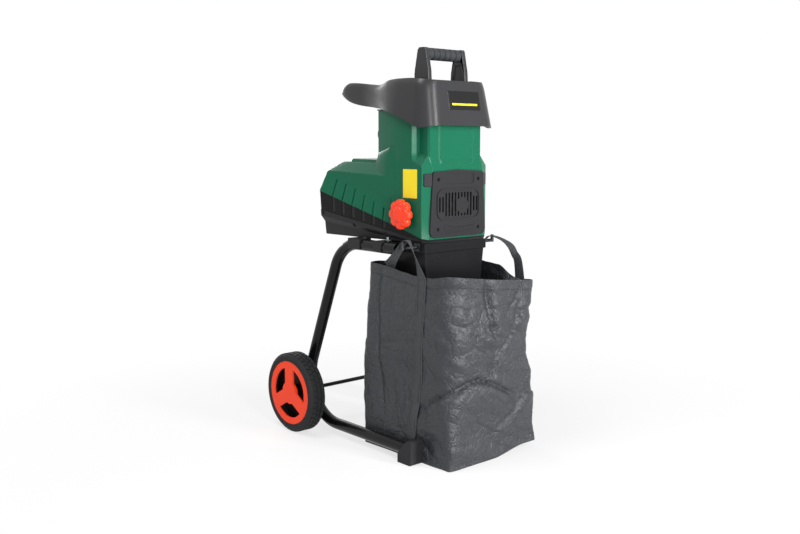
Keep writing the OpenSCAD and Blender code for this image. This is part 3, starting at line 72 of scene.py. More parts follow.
NODES = frame["nodes"]
MM = 0.001
SIDES = ((-1, "left"), (1, "right"))
# Row y of the grille's face, from which lengths along the machine are counted
GRILLE_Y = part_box("front_housing")[0].y - 4 * MM


def spot(x, y, z):
    """A point in millimetres, y counted from the grille's face, as row metres."""
    return Vector((x * MM, y * MM + GRILLE_Y, z * MM))


def tone(red, green, blue):
    """A screen colour from 0 to 255 as linear light."""
    return tuple(
        c / 12.92 if c <= 0.04045 else ((c + 0.055) / 1.055) ** 2.4
        for c in (red / 255, green / 255, blue / 255)
    )


def ease(t):
    """Smooth step from 0 to 1."""
    t = min(1.0, max(0.0, t))
    return t * t * (3 - 2 * t)


def blend_value(a, b, t):
    """Value between a and b at share t."""
    return a + (b - a) * t


# Sizes and colours


def length(label, words, default):
    """A size that a user can change."""
    return bpy.props.FloatProperty(
        name=label, description=words, default=default, min=0.0, unit="LENGTH", precision=5
    )


def colour(label, words, default):
    """A colour that a user can change."""
    return bpy.props.FloatVectorProperty(
        name=label, description=words, default=default, size=3, min=0.0, max=1.0, subtype="COLOR"
    )


class ShredderSizes(bpy.types.PropertyGroup):
    """Sizes of the dressed pieces that the CAD frame leaves open."""

    shell_edge: length("Shell edge", "Radius of the long edges of the body shells", 0.006)
    pan_edge: length("Pan edge", "Radius of the long edges of the base pan", 0.004)
    shell_wall: length("Shell wall", "Wall of the body shells", 0.003)
    cloth: length("Cloth", "Thickness of the bag's cloth", 0.0008)
    weave: length("Weave", "Width of one tape in the bag's weave", 0.0026)
    web_width: length("Webbing width", "Width of the bag's webbing", 0.029)
    web: length("Webbing", "Thickness of the bag's webbing", 0.0016)
    stitch: length("Stitch", "Length of one stitch", 0.0045)
    tread: length("Tread", "Height of the tyre's blocks", 0.0016)
    tread_blocks: bpy.props.IntProperty(
        name="Tread blocks", description="Blocks in one row round the tyre", default=44, min=8
    )


class ShredderColours(bpy.types.PropertyGroup):
    """Colours of the finishes."""

    body: colour("Body", "Moulded shells of the body", tone(19, 95, 69))
    hopper: colour("Hopper", "Hopper, deck and handle", tone(38, 38, 40))
    pan: colour("Pan", "Base pan, chute and grille", tone(38, 38, 40))
    tube: colour("Tube", "Paint of the frame tubes", tone(14, 14, 16))
    tyre: colour("Tyre", "Tyre rubber", tone(38, 39, 40))
    cover: colour("Cover", "Wheel covers", tone(255, 66, 22))
    knob: colour("Knob", "Adjusting knob", tone(255, 62, 28))
    label: colour("Label", "Blank label on the column", tone(248, 222, 24))
    cloth: colour("Cloth", "Woven cloth of the bag", tone(47, 49, 53))
    web: colour("Webbing", "Webbing of the bag", tone(56, 58, 60))


def sizes():
    return bpy.context.scene.shredder_sizes


def colours():
    return bpy.context.scene.shredder_colours


# Finishes


class Value:
    """One output socket; arithmetic on it adds Math nodes."""

    def __init__(self, finish, socket):
        self.finish = finish
        self.socket = socket

    def math(self, operation, *others):
        return self.finish.node("ShaderNodeMath", {"operation": operation}, dict(enumerate(others)))

    def __add__(self, other):
        return self.math("ADD", self, other)

    def __radd__(self, other):
        return self.math("ADD", other, self)

    def __sub__(self, other):
        return self.math("SUBTRACT", self, other)

    def __rsub__(self, other):
        return self.math("SUBTRACT", other, self)

    def __mul__(self, other):
        return self.math("MULTIPLY", self, other)

    def __rmul__(self, other):
        return self.math("MULTIPLY", other, self)

    def sine(self):
        return self.math("SINE", self)

    def size(self):
        return self.math("ABSOLUTE", self)

    def above(self, edge):
        return self.math("GREATER_THAN", self, edge)

    def larger(self, other):
        return self.math("MAXIMUM", self, other)


class Finish:
    """A material with one principled shader, built from nodes."""

    def __init__(self, name):
        self.material = bpy.data.materials.new(name)
        self.material.use_nodes = True
        self.tree = self.material.node_tree
        self.shader = self.tree.nodes["Principled BSDF"]

    def node(self, kind, settings=None, inputs=None, output=0):
        """Any node, from its type, its settings and the values or links of its sockets."""
        made = self.tree.nodes.new(kind)
        for key, setting in (settings or {}).items():
            if key == "stops":
                ramp = made.color_ramp
                while len(ramp.elements) < len(setting):
                    ramp.elements.new(1.0)
                for element, (position, level) in zip(ramp.elements, setting):
                    element.position = position
                    element.color = (level, level, level, 1.0)
            else:
                setattr(made, key, setting)
        for key, value in (inputs or {}).items():
            if isinstance(value, Value):
                self.tree.links.new(value.socket, made.inputs[key])
            else:
                made.inputs[key].default_value = value
        return Value(self, made.outputs[output])

    def place(self):
        return self.node("ShaderNodeTexCoord", output="Object")

    def noise(self, scale, detail=3.0, vector=None, rough=0.55):
        inputs = {"Scale": scale, "Detail": detail, "Roughness": rough, "Vector": vector or self.place()}
        return self.node("ShaderNodeTexNoise", {}, inputs)

    def cells(self, scale, feature="F1", vector=None):
        inputs = {"Scale": scale, "Vector": vector or self.place()}
        return self.node("ShaderNodeTexVoronoi", {"feature": feature}, inputs)

    def stretched(self, factors):
        return self.node("ShaderNodeMapping", {}, {"Vector": self.place(), "Scale": factors})

    def wave(self, axis, span):
        """Sine along one axis of the cloth's own map, which is in metres: half a wave for each span."""
        uv = self.node("ShaderNodeUVMap", {"uv_map": "cloth"})
        return (self.node("ShaderNodeSeparateXYZ", {}, {0: uv}, axis) * (math.pi / span)).sine()

    def ramp(self, value, stops):
        return self.node("ShaderNodeValToRGB", {"stops": stops}, {0: value})

    def mix(self, share, first, second):
        """Colour between two colours."""
        pads = {6: first, 7: second}
        inputs = {k: v if isinstance(v, Value) else (*v, 1.0) for k, v in pads.items()}
        return self.node("ShaderNodeMix", {"data_type": "RGBA"}, {0: share, **inputs}, 2)

    def bump(self, height, strength, depth, normal=None):
        inputs = {"Height": height, "Strength": strength, "Distance": depth}
        if normal:
            inputs["Normal"] = normal
        return self.node("ShaderNodeBump", {}, inputs)

    def surface(self, **sockets):
        """Sets or links the shader's sockets, named with underscores for spaces."""
        for key, value in sockets.items():
            socket = self.shader.inputs[key.replace("_", " ")]
            if isinstance(value, Value):
                self.tree.links.new(value.socket, socket)
            elif isinstance(value, tuple) and len(value) == 3:
                socket.default_value = (*value, 1.0)
            else:
                socket.default_value = value
        return self.material


def shade(base, factor):
    """A colour made darker or lighter."""
    return tuple(min(1.0, c * factor) for c in base)


def moulded(name, base, roughness=0.42, grain=900.0, relief=0.05, drift=0.14, gleam=0.12):
    """Moulded plastic: fine spark grain, slow drift of colour and gloss, faint rubbed patches."""
    f = Finish(name)
    slow = f.noise(9.0, 4.0)
    rubbed = f.ramp(f.noise(38.0, 6.0, rough=0.7), [(0.56, 0.0), (0.75, 1.0)])
    skin = f.mix(slow, shade(base, 1 - drift), shade(base, 1 + drift))
    skin = f.mix(rubbed * 0.08, skin, shade(base, 1.5))
    gloss = roughness + (slow - 0.5) * 0.10 + rubbed * 0.06
    height = f.noise(grain, 2.0) + f.noise(24.0, 2.0) * 0.3
    return f.surface(
        Base_Color=skin, Roughness=gloss, Normal=f.bump(height, relief, 0.0006), Specular_IOR_Level=gleam
    )


def painted(name, base, roughness=0.16):
    """Gloss stove paint on tube, with faint orange peel and dust."""
    f = Finish(name)
    dust = f.ramp(f.noise(60.0, 8.0, rough=0.7), [(0.5, 0.0), (0.8, 1.0)])
    peel = f.noise(240.0, 2.0)
    skin = f.mix(dust * 0.12, base, shade(base, 3.0))
    gloss = roughness + dust * 0.16
    return f.surface(
        Base_Color=skin, Roughness=gloss, Normal=f.bump(peel, 0.06, 0.0005), Specular_IOR_Level=0.22,
    )


def rubber(name, base, roughness=0.72):
    """Rubber with a dusty bloom and a fine pitted skin."""
    f = Finish(name)
    bloom = f.ramp(f.noise(42.0, 7.0, rough=0.68), [(0.42, 0.0), (0.72, 1.0)])
    skin = f.mix(bloom * 0.55, shade(base, 0.82), shade(base, 1.5))
    height = f.noise(700.0, 3.0) + f.cells(180.0) * 0.4
    return f.surface(
        Base_Color=skin, Roughness=roughness + bloom * 0.12, Normal=f.bump(height, 0.14, 0.0008),
        Specular_IOR_Level=0.25,
    )


def metal(name, base, roughness=0.34, brushed=(1.0, 1.0, 60.0), stain=0.25):
    """Machined or rolled metal with brush lines and dull stains."""
    f = Finish(name)
    lines = f.noise(60.0, 3.0, f.stretched(brushed))
    dull = f.ramp(f.noise(30.0, 6.0), [(0.4, 0.0), (0.75, 1.0)])
    skin = f.mix(dull * stain, base, shade(base, 0.55))
    gloss = roughness + (lines - 0.5) * 0.18 + dull * 0.15
    return f.surface(
        Base_Color=skin, Metallic=1.0, Roughness=gloss, Normal=f.bump(lines, 0.10, 0.0004)
    )


def cast(name, base):
    """Cast alloy with a grainy skin."""
    f = Finish(name)
    grain = f.noise(420.0, 4.0) + f.cells(300.0) * 0.6
    slow = f.noise(14.0, 4.0)
    return f.surface(
        Base_Color=f.mix(slow, shade(base, 0.8), shade(base, 1.1)), Metallic=0.85,
        Roughness=0.5 + (slow - 0.5) * 0.2, Normal=f.bump(grain, 0.25, 0.001),
    )


def wound(name, base):
    """Lacquered copper windings: fine wires round the motor's axis."""
    f = Finish(name)
    sockets = {"Vector": f.place(), "Scale": 320.0, "Distortion": 1.5}
    wires = f.node("ShaderNodeTexWave", {"bands_direction": "Y"}, sockets)
    return f.surface(
        Base_Color=f.mix(wires, shade(base, 0.45), base), Metallic=0.7, Roughness=0.36,
        Normal=f.bump(wires, 0.6, 0.001),
    )


def paper(name, base):
    """Blank printed label: film with a slight ripple."""
    f = Finish(name)
    ripple = f.noise(45.0, 3.0)
    fleck = f.noise(600.0, 2.0)
    return f.surface(
        Base_Color=f.mix(fleck * 0.25, base, shade(base, 0.86)), Roughness=0.38 + ripple * 0.08,
        Normal=f.bump(ripple, 0.12, 0.001),
    )


def woven(name, base, tape):
    """Plain weave of flat tapes, with fine creases."""
    f = Finish(name)
    warp, weft = f.wave("X", tape), f.wave("Y", tape)
    over = (warp * weft).above(0.0)
    crown = warp.size() * over + weft.size() * (1.0 - over)
    patch = f.noise(7.0, 5.0)
    dust = f.ramp(f.noise(26.0, 7.0, rough=0.72), [(0.45, 0.0), (0.8, 1.0)])
    swirl = f.node("ShaderNodeTexNoise", {}, {"Scale": 14.0, "Detail": 3.0, "Vector": f.place()}, "Color")
    shifts = {0: swirl, 1: (0.06, 0.06, 0.06), 2: f.place()}
    bent = f.node("ShaderNodeVectorMath", {"operation": "MULTIPLY_ADD"}, shifts)
    facets = f.ramp(f.cells(30.0, "DISTANCE_TO_EDGE", bent), [(0.0, 0.0), (0.10, 0.7), (0.45, 1.0)])
    small = f.ramp(f.cells(78.0, "DISTANCE_TO_EDGE", bent), [(0.0, 0.0), (0.16, 0.8), (0.5, 1.0)])
    crinkle = facets * 0.8 + small * 0.35 + f.noise(60.0, 5.0, rough=0.62) * 0.7
    thread = f.mix(over * 0.35, base, shade(base, 0.84))
    skin = f.mix(patch * 0.5, thread, shade(base, 0.80))
    skin = f.mix(dust * 0.16, skin, shade(base, 1.6))
    gloss = 0.30 + patch * 0.10 + over * 0.08
    fine = f.bump(crown, 0.4, 0.0004)
    creases = f.bump(crinkle, 0.5, 0.003, fine)
    return f.surface(Base_Color=skin, Roughness=gloss, Normal=creases, Specular_IOR_Level=0.45)


def webbing(name, base, rib=0.0018, pick=0.0012):
    """Webbing with ribs along it and finer threads across."""
    f = Finish(name)
    ribs = f.wave("X", rib).size()
    picks = f.wave("Y", pick).size()
    fuzz = f.noise(400.0, 4.0)
    skin = f.mix(ribs * 0.6 + fuzz * 0.2, shade(base, 0.7), shade(base, 1.2))
    return f.surface(
        Base_Color=skin, Roughness=0.62 + fuzz * 0.1, Normal=f.bump(ribs + picks * 0.4, 0.5, 0.0006)
    )


FINISHES = {}


def make_finishes():
    """All finishes: by their slot names in the record, then those of pieces that differ from their slot."""
    c = colours()
    # The numbers of a moulded finish are roughness, grain, relief, drift of colour and gleam
    FINISHES.update({
        "tube_black": painted("Tube paint", tuple(c.tube)),
        "foot_black": moulded("Foot plastic", shade(tuple(c.pan), 1.3), 0.5, 700.0, 0.10),
        "body_green": moulded("Green shell", tuple(c.body), 0.2, 1100.0, 0.015, 0.04, 0.12),
        "body_black": moulded("Black shell", tuple(c.pan), 0.38, 800.0, 0.06, 0.08, 0.16),
        "hopper_black": moulded("Hopper plastic", tuple(c.hopper), 0.32, 850.0, 0.05, 0.05, 0.36),
        "rim_black": moulded("Rim plastic", shade(tuple(c.pan), 0.8), 0.48, 700.0, 0.08),
        "tyre_rubber": rubber("Tyre rubber", tuple(c.tyre)),
        "cover_red": moulded("Cover plastic", tuple(c.cover), 0.36, 900.0, 0.05, 0.05, 0.2),
        "knob_red": moulded("Knob plastic", tuple(c.knob), 0.16, 1100.0, 0.02, 0.05, 0.3),
        "grip_rubber": rubber("Grip rubber", tone(52, 53, 56), 0.6),
        "bright_steel": metal("Bright steel", tone(190, 193, 197), 0.26),
        "dark_steel": metal("Dark steel", tone(70, 72, 75), 0.42),
        "black_steel": metal("Black steel", tone(34, 35, 37), 0.36),
        "tool_steel": metal("Tool steel", tone(120, 123, 127), 0.36),
        "cast_alloy": cast("Cast alloy", tone(170, 173, 176)),
        "motor_iron": metal("Motor iron", tone(105, 108, 112), 0.5, (60.0, 1.0, 1.0)),
        "winding_copper": wound("Copper winding", tone(190, 104, 52)),
        "bush_bronze": metal("Bush bronze", tone(178, 142, 80), 0.38),
        "fan_plastic": moulded("Fan plastic", tone(46, 48, 51), 0.45),
        "button_green": moulded("Start button", tone(44, 150, 72), 0.32, 900.0, 0.04, 0.04, 0.3),
        "button_red": moulded("Stop button", tone(200, 50, 42), 0.32, 900.0, 0.04, 0.04, 0.3),
        "switch_black": moulded("Switch plastic", tone(30, 31, 33), 0.38, 900.0, 0.05),
        "bag_cloth": woven("Woven cloth", tuple(c.cloth), sizes().weave),
        "strap_web": webbing("Webbing", tuple(c.web)),
        "label": paper("Blank label", tuple(c.label)),
        "plate": moulded("Blank plate", tone(20, 20, 21), 0.34, 900.0, 0.03, 0.04, 0.2),
        # The dark band is painted shade: it darkens the pan's recess and the chute under the body
        "band": moulded("Band darkened as painted shade", shade(tuple(c.pan), 0.6), 0.26, 900.0, 0.04, 0.06, 0.08),
        # The dark casting is painted shade: the chamber inside the housing darkened behind the grille
        "casting": cast("Casting darkened as painted shade", tone(52, 53, 55)),
        "stripe": paper("Plain stripe", tone(236, 206, 30)),
        "thread": rubber("Thread", tone(30, 30, 32), 0.7),
    })


# Mesh helpers


def as_mesh(bm, name):
    """The mesh of a bmesh, which is freed."""
    mesh = bpy.data.meshes.new(name)
    bm.to_mesh(mesh)
    bm.free()
    return mesh


def finished(name, bm, slot, body="machine", stands_for=(), finish=None, sharp=38.0):
    """A piece from a bmesh, shaded, finished and set on its body."""
    return dressed(name, as_mesh(bm, name), slot, body, stands_for, finish, sharp)


def dressed(name, mesh, slot, body="machine", stands_for=(), finish=None, sharp=38.0):
    """A piece from a mesh, shaded, finished and set on its body."""
    if len(mesh.polygons) == 0:
        raise RuntimeError(f"{name} has no faces")
    mesh.name = name
    mesh.materials.clear()
    mesh.materials.append(FINISHES[finish or slot])
    mesh.shade_smooth()
    mesh.set_sharp_from_angle(angle=math.radians(sharp))
    piece = bpy.data.objects.new(name, mesh)
    bpy.context.scene.collection.objects.link(piece)
    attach(piece, body)
    if stands_for:
        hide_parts(*stands_for)
    return piece


def evened(piece):
    """Keeps the flat faces of a piece with rounded edges flat in their shading."""
    even = piece.modifiers.new("shading", "WEIGHTED_NORMAL")
    even.keep_sharp = True


def outward(bm):
    """Merged doubles and normals that point out."""
    bmesh.ops.remove_doubles(bm, verts=bm.verts, dist=1e-6)
    bmesh.ops.recalc_face_normals(bm, faces=bm.faces)
    return bm


def lofted(rings, loop=False):
    """A skin through rings of equal length, closed by caps or into a loop."""
    bm = bmesh.new()
    rows = [[bm.verts.new(p) for p in ring] for ring in rings]
    pairs = list(zip(rows, rows[1:]))
    if loop:
        pairs.append((rows[-1], rows[0]))
    for low, high in pairs:
        n = len(low)
        for i in range(n):
            j = (i + 1) % n
            bm.faces.new((low[i], low[j], high[j], high[i]))
    if not loop:
        bm.faces.new(list(reversed(rows[0])))
        bm.faces.new(rows[-1])
    return outward(bm)


def scratch(bm, name="scratch"):
    """A working object that never becomes a piece."""
    made = bpy.data.objects.new(name, as_mesh(bm, name))
    bpy.context.scene.collection.objects.link(made)
    return made


def settled(work):
    """The mesh of a working object with its modifiers applied; the object goes."""
    view = bpy.context.evaluated_depsgraph_get()
    view.update()
    mesh = bpy.data.meshes.new_from_object(work.evaluated_get(view))
    spent = work.data
    bpy.data.objects.remove(work)
    if spent.users == 0:
        bpy.data.meshes.remove(spent)
    return mesh


def bevelled(piece, width, angle):
    """Adds a round on the edges that turn by more than an angle in degrees."""
    bevel = piece.modifiers.new("edges", "BEVEL")
    bevel.width = width
    bevel.segments = 3
    bevel.limit_method = "ANGLE"
    bevel.angle_limit = math.radians(angle)
    return bevel


def rounded_edges(bm, width):
    """The mesh with its sharp edges rounded."""
    work = scratch(bm)
    bevelled(work, width, 24).miter_outer = "MITER_ARC"
    return settled(work)


def carved(mesh, cutters):
    """The mesh less each cutter, which are bmeshes."""
    work = bpy.data.objects.new("work", mesh)
    bpy.context.scene.collection.objects.link(work)
    tools = [scratch(bm, "cutter") for bm in cutters]
    for tool in tools:
        cut = work.modifiers.new("cut", "BOOLEAN")
        cut.operation = "DIFFERENCE"
        cut.solver = "MANIFOLD"
        cut.object = tool
    made = settled(work)
    for tool in tools:
        bpy.data.objects.remove(tool)
    return made


def boxes(corners):
    """Boxes between pairs of corners, as one bmesh."""
    bm = bmesh.new()
    for low, high in corners:
        shape = bmesh.ops.create_cube(bm, size=1.0)["verts"]
        a, b = spot(*low), spot(*high)
        move = Matrix.Translation((a + b) / 2) @ Matrix.Diagonal((*(b - a), 1.0))
        bmesh.ops.transform(bm, matrix=move, verts=shape)
    return bm


def blocks(pairs):
    """Closed blocks between pairs of rings of four points, as one bmesh."""
    bm = bmesh.new()
    for low, high in pairs:
        a = [bm.verts.new(p) for p in low]
        b = [bm.verts.new(p) for p in high]
        bm.faces.new(list(reversed(a)))
        bm.faces.new(b)
        for i in range(4):
            j = (i + 1) % 4
            bm.faces.new((a[i], a[j], b[j], b[i]))
    bmesh.ops.recalc_face_normals(bm, faces=bm.faces)
    return bm


def rods(ends, radius, sides=32):
    """Straight round bars between pairs of points, as one bmesh."""
    bm = bmesh.new()
    for a, b in ends:
        axis = b - a
        turn = axis.to_track_quat("Z", "Y").to_matrix().to_4x4()
        shape = bmesh.ops.create_cone(
            bm, cap_ends=True, segments=sides, radius1=radius, radius2=radius, depth=axis.length
        )["verts"]
        bmesh.ops.transform(bm, matrix=Matrix.Translation((a + b) / 2) @ turn, verts=shape)
    return bm


def frames(path):
    """Two vectors square to a path at each of its points, carried along it without twist."""
    tangents = []
    for i in range(len(path)):
        a = path[max(0, i - 1)]
        b = path[min(len(path) - 1, i + 1)]
        tangents.append((b - a).normalized())
    side = tangents[0].orthogonal().normalized()
    made = []
    for t in tangents:
        side = (side - t * side.dot(t)).normalized()
        made.append((side, t.cross(side)))
    return made


def tube(path, radius, bore, sides=40):
    """A hollow round tube along a path."""
    angles = [2 * math.pi * k / sides for k in range(sides)]
    stations = list(zip(path, frames(path)))

    def ring(p, axes, r):
        return [p + (axes[0] * math.cos(a) + axes[1] * math.sin(a)) * r for a in angles]

    rings = [ring(p, axes, radius) for p, axes in stations]
    rings += [ring(p, axes, bore) for p, axes in reversed(stations)]
    return lofted(rings, loop=True)


def spline(points, steps):
    """Points on a smooth curve through the given ones."""
    made = []
    n = len(points)
    for i in range(n - 1):
        p0, p1, p2, p3 = (points[min(n - 1, max(0, i + k))] for k in (-1, 0, 1, 2))
        for s in range(steps):
            t = s / steps
            made.append(
                0.5 * (2 * p1 + (p2 - p0) * t + (2 * p0 - 5 * p1 + 4 * p2 - p3) * t * t
                       + (3 * p1 - p0 - 3 * p2 + p3) * t ** 3)
            )
    made.append(points[-1])
    return made


def pad(face, wide, high, corner, rise, soft, cells=40, sink=0.4):
    """A thin raised pad on a face, with rounded corners and a soft edge.

    face(a, b) gives a point and the outward normal at a and b millimetres from the pad's middle.
    """
    bm = bmesh.new()
    top, back = {}, {}
    for i in range(cells + 1):
        for j in range(cells + 1):
            a = (i / cells - 0.5) * wide
            b = (j / cells - 0.5) * high
            qa = abs(a) - wide / 2 + corner
            qb = abs(b) - high / 2 + corner
            reach = math.hypot(max(qa, 0), max(qb, 0)) + min(max(qa, qb), 0) - corner
            lift = (rise + sink) * ease(-reach / soft) - sink
            p, n = face(a, b)
            top[i, j] = bm.verts.new(p + n * lift * MM)
            back[i, j] = bm.verts.new(p - n * (sink + 0.6) * MM)
    for i in range(cells):
        for j in range(cells):
            quad = ((i, j), (i + 1, j), (i + 1, j + 1), (i, j + 1))
            bm.faces.new([top[q] for q in quad])
            bm.faces.new([back[q] for q in reversed(quad)])
    for k in range(cells):
        for a, b in (((k, 0), (k + 1, 0)), ((k + 1, cells), (k, cells)), ((0, k + 1), (0, k)),
                     ((cells, k), (cells, k + 1))):
            bm.faces.new((top[b], top[a], back[a], back[b]))
    return outward(bm)


# Node trees that repeat a small shape


class Growth:
    """A geometry node tree with named inputs that ends in one realised mesh of one material."""

    def __init__(self, name, inputs):
        self.tree = bpy.data.node_groups.new(name, "GeometryNodeTree")
        face = self.tree.interface
        face.new_socket("Geometry", in_out="INPUT", socket_type="NodeSocketGeometry")
        self.ids = {}
        for label, kind in inputs:
            self.ids[label] = face.new_socket(label, in_out="INPUT", socket_type=kind).identifier
        face.new_socket("Geometry", in_out="OUTPUT", socket_type="NodeSocketGeometry")
        self.input = self.tree.nodes.new("NodeGroupInput")
        self.output = self.tree.nodes.new("NodeGroupOutput")

    def given(self, label):
        return self.input.outputs[label]

    def node(self, kind, settings=None, inputs=None, output=0):
        made = self.tree.nodes.new(kind)
        for key, setting in (settings or {}).items():
            setattr(made, key, setting)
        for key, value in (inputs or {}).items():
            if isinstance(value, bpy.types.NodeSocket):
                self.tree.links.new(value, made.inputs[key])
            else:
                made.inputs[key].default_value = value
        return made.outputs[output]

    def close(self, instances):
        real = self.node("GeometryNodeRealizeInstances", {}, {0: instances})
        done = self.node("GeometryNodeSetMaterial", {}, {0: real, "Material": self.given("Material")})
        self.tree.links.new(done, self.output.inputs[0])

    def grown(self, base, values):
        """The plain mesh that the tree gives on a base bmesh."""
        work = scratch(base)
        grow = work.modifiers.new("growth", "NODES")
        grow.node_group = self.tree
        for label, value in values.items():
            grow[self.ids[label]] = value
        return settled(work)


def stitch_tree():
    """Small thread beads along the polylines of the base mesh."""
    g = Growth("Stitches", [
        ("Pitch", "NodeSocketFloat"), ("Bead", "NodeSocketVector"), ("Material", "NodeSocketMaterial")])
    line = g.node("GeometryNodeMeshToCurve", {}, {0: g.given("Geometry")})
    dots = g.node("GeometryNodeResampleCurve", {"mode": "LENGTH"}, {0: line, "Length": g.given("Pitch")})
    tangent = g.node("GeometryNodeInputTangent")
    turn = g.node("FunctionNodeAlignRotationToVector", {"axis": "X"}, {"Vector": tangent})
    bead = g.node("GeometryNodeMeshIcoSphere", {}, {"Radius": 1.0, "Subdivisions": 1})
    g.close(g.node("GeometryNodeInstanceOnPoints", {}, {
        "Points": dots, "Instance": bead, "Rotation": turn, "Scale": g.given("Bead")}))
    return g


def tread_tree(rows):
    """Rows of blocks round an axis along X, each row turned and shifted from the last."""
    g = Growth("Tread", [
        ("Blocks", "NodeSocketInt"), ("Radius", "NodeSocketFloat"), ("Block", "NodeSocketVector"),
        ("Centre", "NodeSocketVector"), ("Material", "NodeSocketMaterial")])
    join = g.tree.nodes.new("GeometryNodeJoinGeometry")
    for turn, shift, wide in rows:
        ring = g.node("GeometryNodeMeshCircle", {}, {
            "Vertices": g.given("Blocks"), "Radius": g.given("Radius")})
        out = g.node("FunctionNodeAlignRotationToVector", {"axis": "X"},
                     {"Vector": g.node("GeometryNodeInputPosition")})
        scale = g.node("ShaderNodeVectorMath", {"operation": "MULTIPLY"},
                       {0: g.given("Block"), 1: (1.0, 1.0, wide)})
        block = g.node("GeometryNodeMeshCube", {}, {"Size": (1.0, 1.0, 1.0)})
        row = g.node("GeometryNodeInstanceOnPoints", {}, {
            "Points": ring, "Instance": block, "Rotation": out, "Scale": scale})
        moved = g.node("GeometryNodeTransform", {}, {
            0: row, "Translation": (0.0, 0.0, shift), "Rotation": (0.0, 0.0, turn)})
        g.tree.links.new(moved, join.inputs[0])
    upright = g.node("GeometryNodeTransform", {}, {
        0: join.outputs[0], "Translation": g.given("Centre"), "Rotation": (0.0, math.pi / 2, 0.0)})
    g.close(upright)
    return g


# Body shells: the same outlines as the CAD, with rounded edges, in millimetres

SEAM_Z, SEAM_SLOPE, FRONT = 506, 0.28, 4
BODY_HW, FLARE, FLARE_Y, REAR_Y, REAR_CUT = 104, 26, 60, 372, 10
SPLIT_Y, HOOD_Z, PAN_Z, COLUMN_Z, COLUMN_BACK = 120, 684, 498, 800, 185
BAND_H, RIDGE_HW, RIDGE_REAR_Y, BEVEL_Z, BEVEL_RISE = 49, 75, 345, 647, 10
# The hood's flat top lies this far under HOOD_Z at its front, and rises this much to its rear
RIDGE_SINK, RIDGE_RISE = 9, 4
SHOULDER_Z, SHOULDER_H, FRONT_LOW_HW, FRONT_TOP_HW = 668, 24, 90, 80.5
# Depth of the cut corners at the front
CORNER_CUT = 10
UPPER_HW, UPPER_FRONT, UPPER_FRONT_HW, BACK_HW, TAPER_Y, STEP_Y = 85, 10, 80, 86, 112, 45
KNOB_Y, KNOB_Z, KNOB_R, KNOB_FOOT_X = 66, 563, 35, 107
# Housing screws on each side: y and z
SCREWS = ((352, 552), (240, 527), (132, 513))
# Air grooves: their number, the middle of the rear one, their pitch and half their width
GROOVES, GROOVE_Y, GROOVE_PITCH, GROOVE_HALF = 6, 313, 35, 5
# Panel on the column's upper front: height of its middle, width, height and corner
COLUMN_PANEL_Z, COLUMN_PANEL = 738, (114, 122, 12)
# Panel on the hood's flat top: middle, length, corner and rise
HOOD_PANEL_Y, HOOD_PANEL = 262, (134, 16, 8)
# Inset of the pan's dark band, whose darker finish is painted shade in the recess, and the share of the pan's
# height where it ends
BAND_INSET, BAND_END = 2.2, 0.43


def seam(y):
    """Height of the seam between the pan and the shells on it."""
    return SEAM_Z + SEAM_SLOPE * (y - FRONT)


def seam_hw(y):
    """Half width of the body along the seam."""
    return BODY_HW + FLARE * max(0, y - FLARE_Y) / (REAR_Y - REAR_CUT - FLARE_Y)


def whole(half):
    """A closed ring from its right half, front to rear."""
    ring = list(half) + [(-x, y, z) for x, y, z in reversed(half)]
    return [spot(*p) for p in ring]


def column_half(level, i):
    """Half outline of the column at one of five levels from the seam to its top, inset by i."""
    low = level < 3
    front = (FRONT if low else UPPER_FRONT) + i
    front_hw = (FRONT_LOW_HW, FRONT_LOW_HW - 5, FRONT_TOP_HW, UPPER_FRONT_HW, UPPER_FRONT_HW)[level] - i
    edge_hw = (BODY_HW if low else UPPER_HW) - i
    edge_y = (FRONT + CORNER_CUT if low else UPPER_FRONT + CORNER_CUT / 2) + i / 2
    wide = BODY_HW - i
    back = (SPLIT_Y - 0.1 if low else COLUMN_BACK) - i
    corner_y = back - 1 if low else TAPER_Y
    corner_hw = seam_hw(SPLIT_Y) - i if level == 0 else wide
    end_hw = corner_hw - 1 if low else BACK_HW - i
    top = SHOULDER_Z + SHOULDER_H
    heights = {
        2: (SHOULDER_Z, SHOULDER_Z + 4, HOOD_Z, HOOD_Z + 2, HOOD_Z, HOOD_Z, HOOD_Z),
        3: (top, top + 4, HOOD_Z + 18, HOOD_Z + 18, HOOD_Z + 6, HOOD_Z + 2, HOOD_Z + 0.2),
        4: (COLUMN_Z,) * 7,
    }
    plan = (
        (front_hw, front), (edge_hw, edge_y), (edge_hw, STEP_Y - 3 + i), (wide, STEP_Y + 2 + i),
        (wide, FLARE_Y + i), (corner_hw, corner_y), (end_hw, back),
    )
    if level == 0:
        return [(x, y, seam(y) + 0.1) for x, y in plan]
    if level == 1:
        return [(x, y, seam(y) + BAND_H) for x, y in plan]
    return [(x, y, z) for (x, y), z in zip(plan, heights[level])]


def ridge_z(y):
    """Height of the hood's flat top."""
    return HOOD_Z - RIDGE_SINK + RIDGE_RISE * (y - SPLIT_Y) / (REAR_Y - SPLIT_Y)


def hood_half(level, i):
    """Half outline of the hood at one of four levels from the seam to its flat top, inset by i."""
    rear = (RIDGE_REAR_Y if level == 3 else REAR_Y - (0, 4, 7)[level]) - i
    front_hw = (seam_hw(SPLIT_Y), BODY_HW, BODY_HW, RIDGE_HW)[level] - i
    flat_hw = RIDGE_HW if level == 3 else BODY_HW
    rear_hw = (seam_hw(REAR_Y - REAR_CUT) if level == 0 else flat_hw + (4, 3, -2)[level - 1]) - i
    steps = [k / 8 for k in range(9)]
    plan = [(blend_value(front_hw, rear_hw, t), blend_value(SPLIT_Y, rear - REAR_CUT, t)) for t in steps]
    made = []
    for x, y in plan + [(rear_hw - REAR_CUT, rear)]:
        bevel = BEVEL_Z + BEVEL_RISE * (y - SPLIT_Y) / (REAR_Y - SPLIT_Y)
        band = seam(y) + BAND_H
        z = (seam(y) + 0.1, band, max(bevel, band + 1), ridge_z(y))[level]
        made.append((x, y, z))
    return made


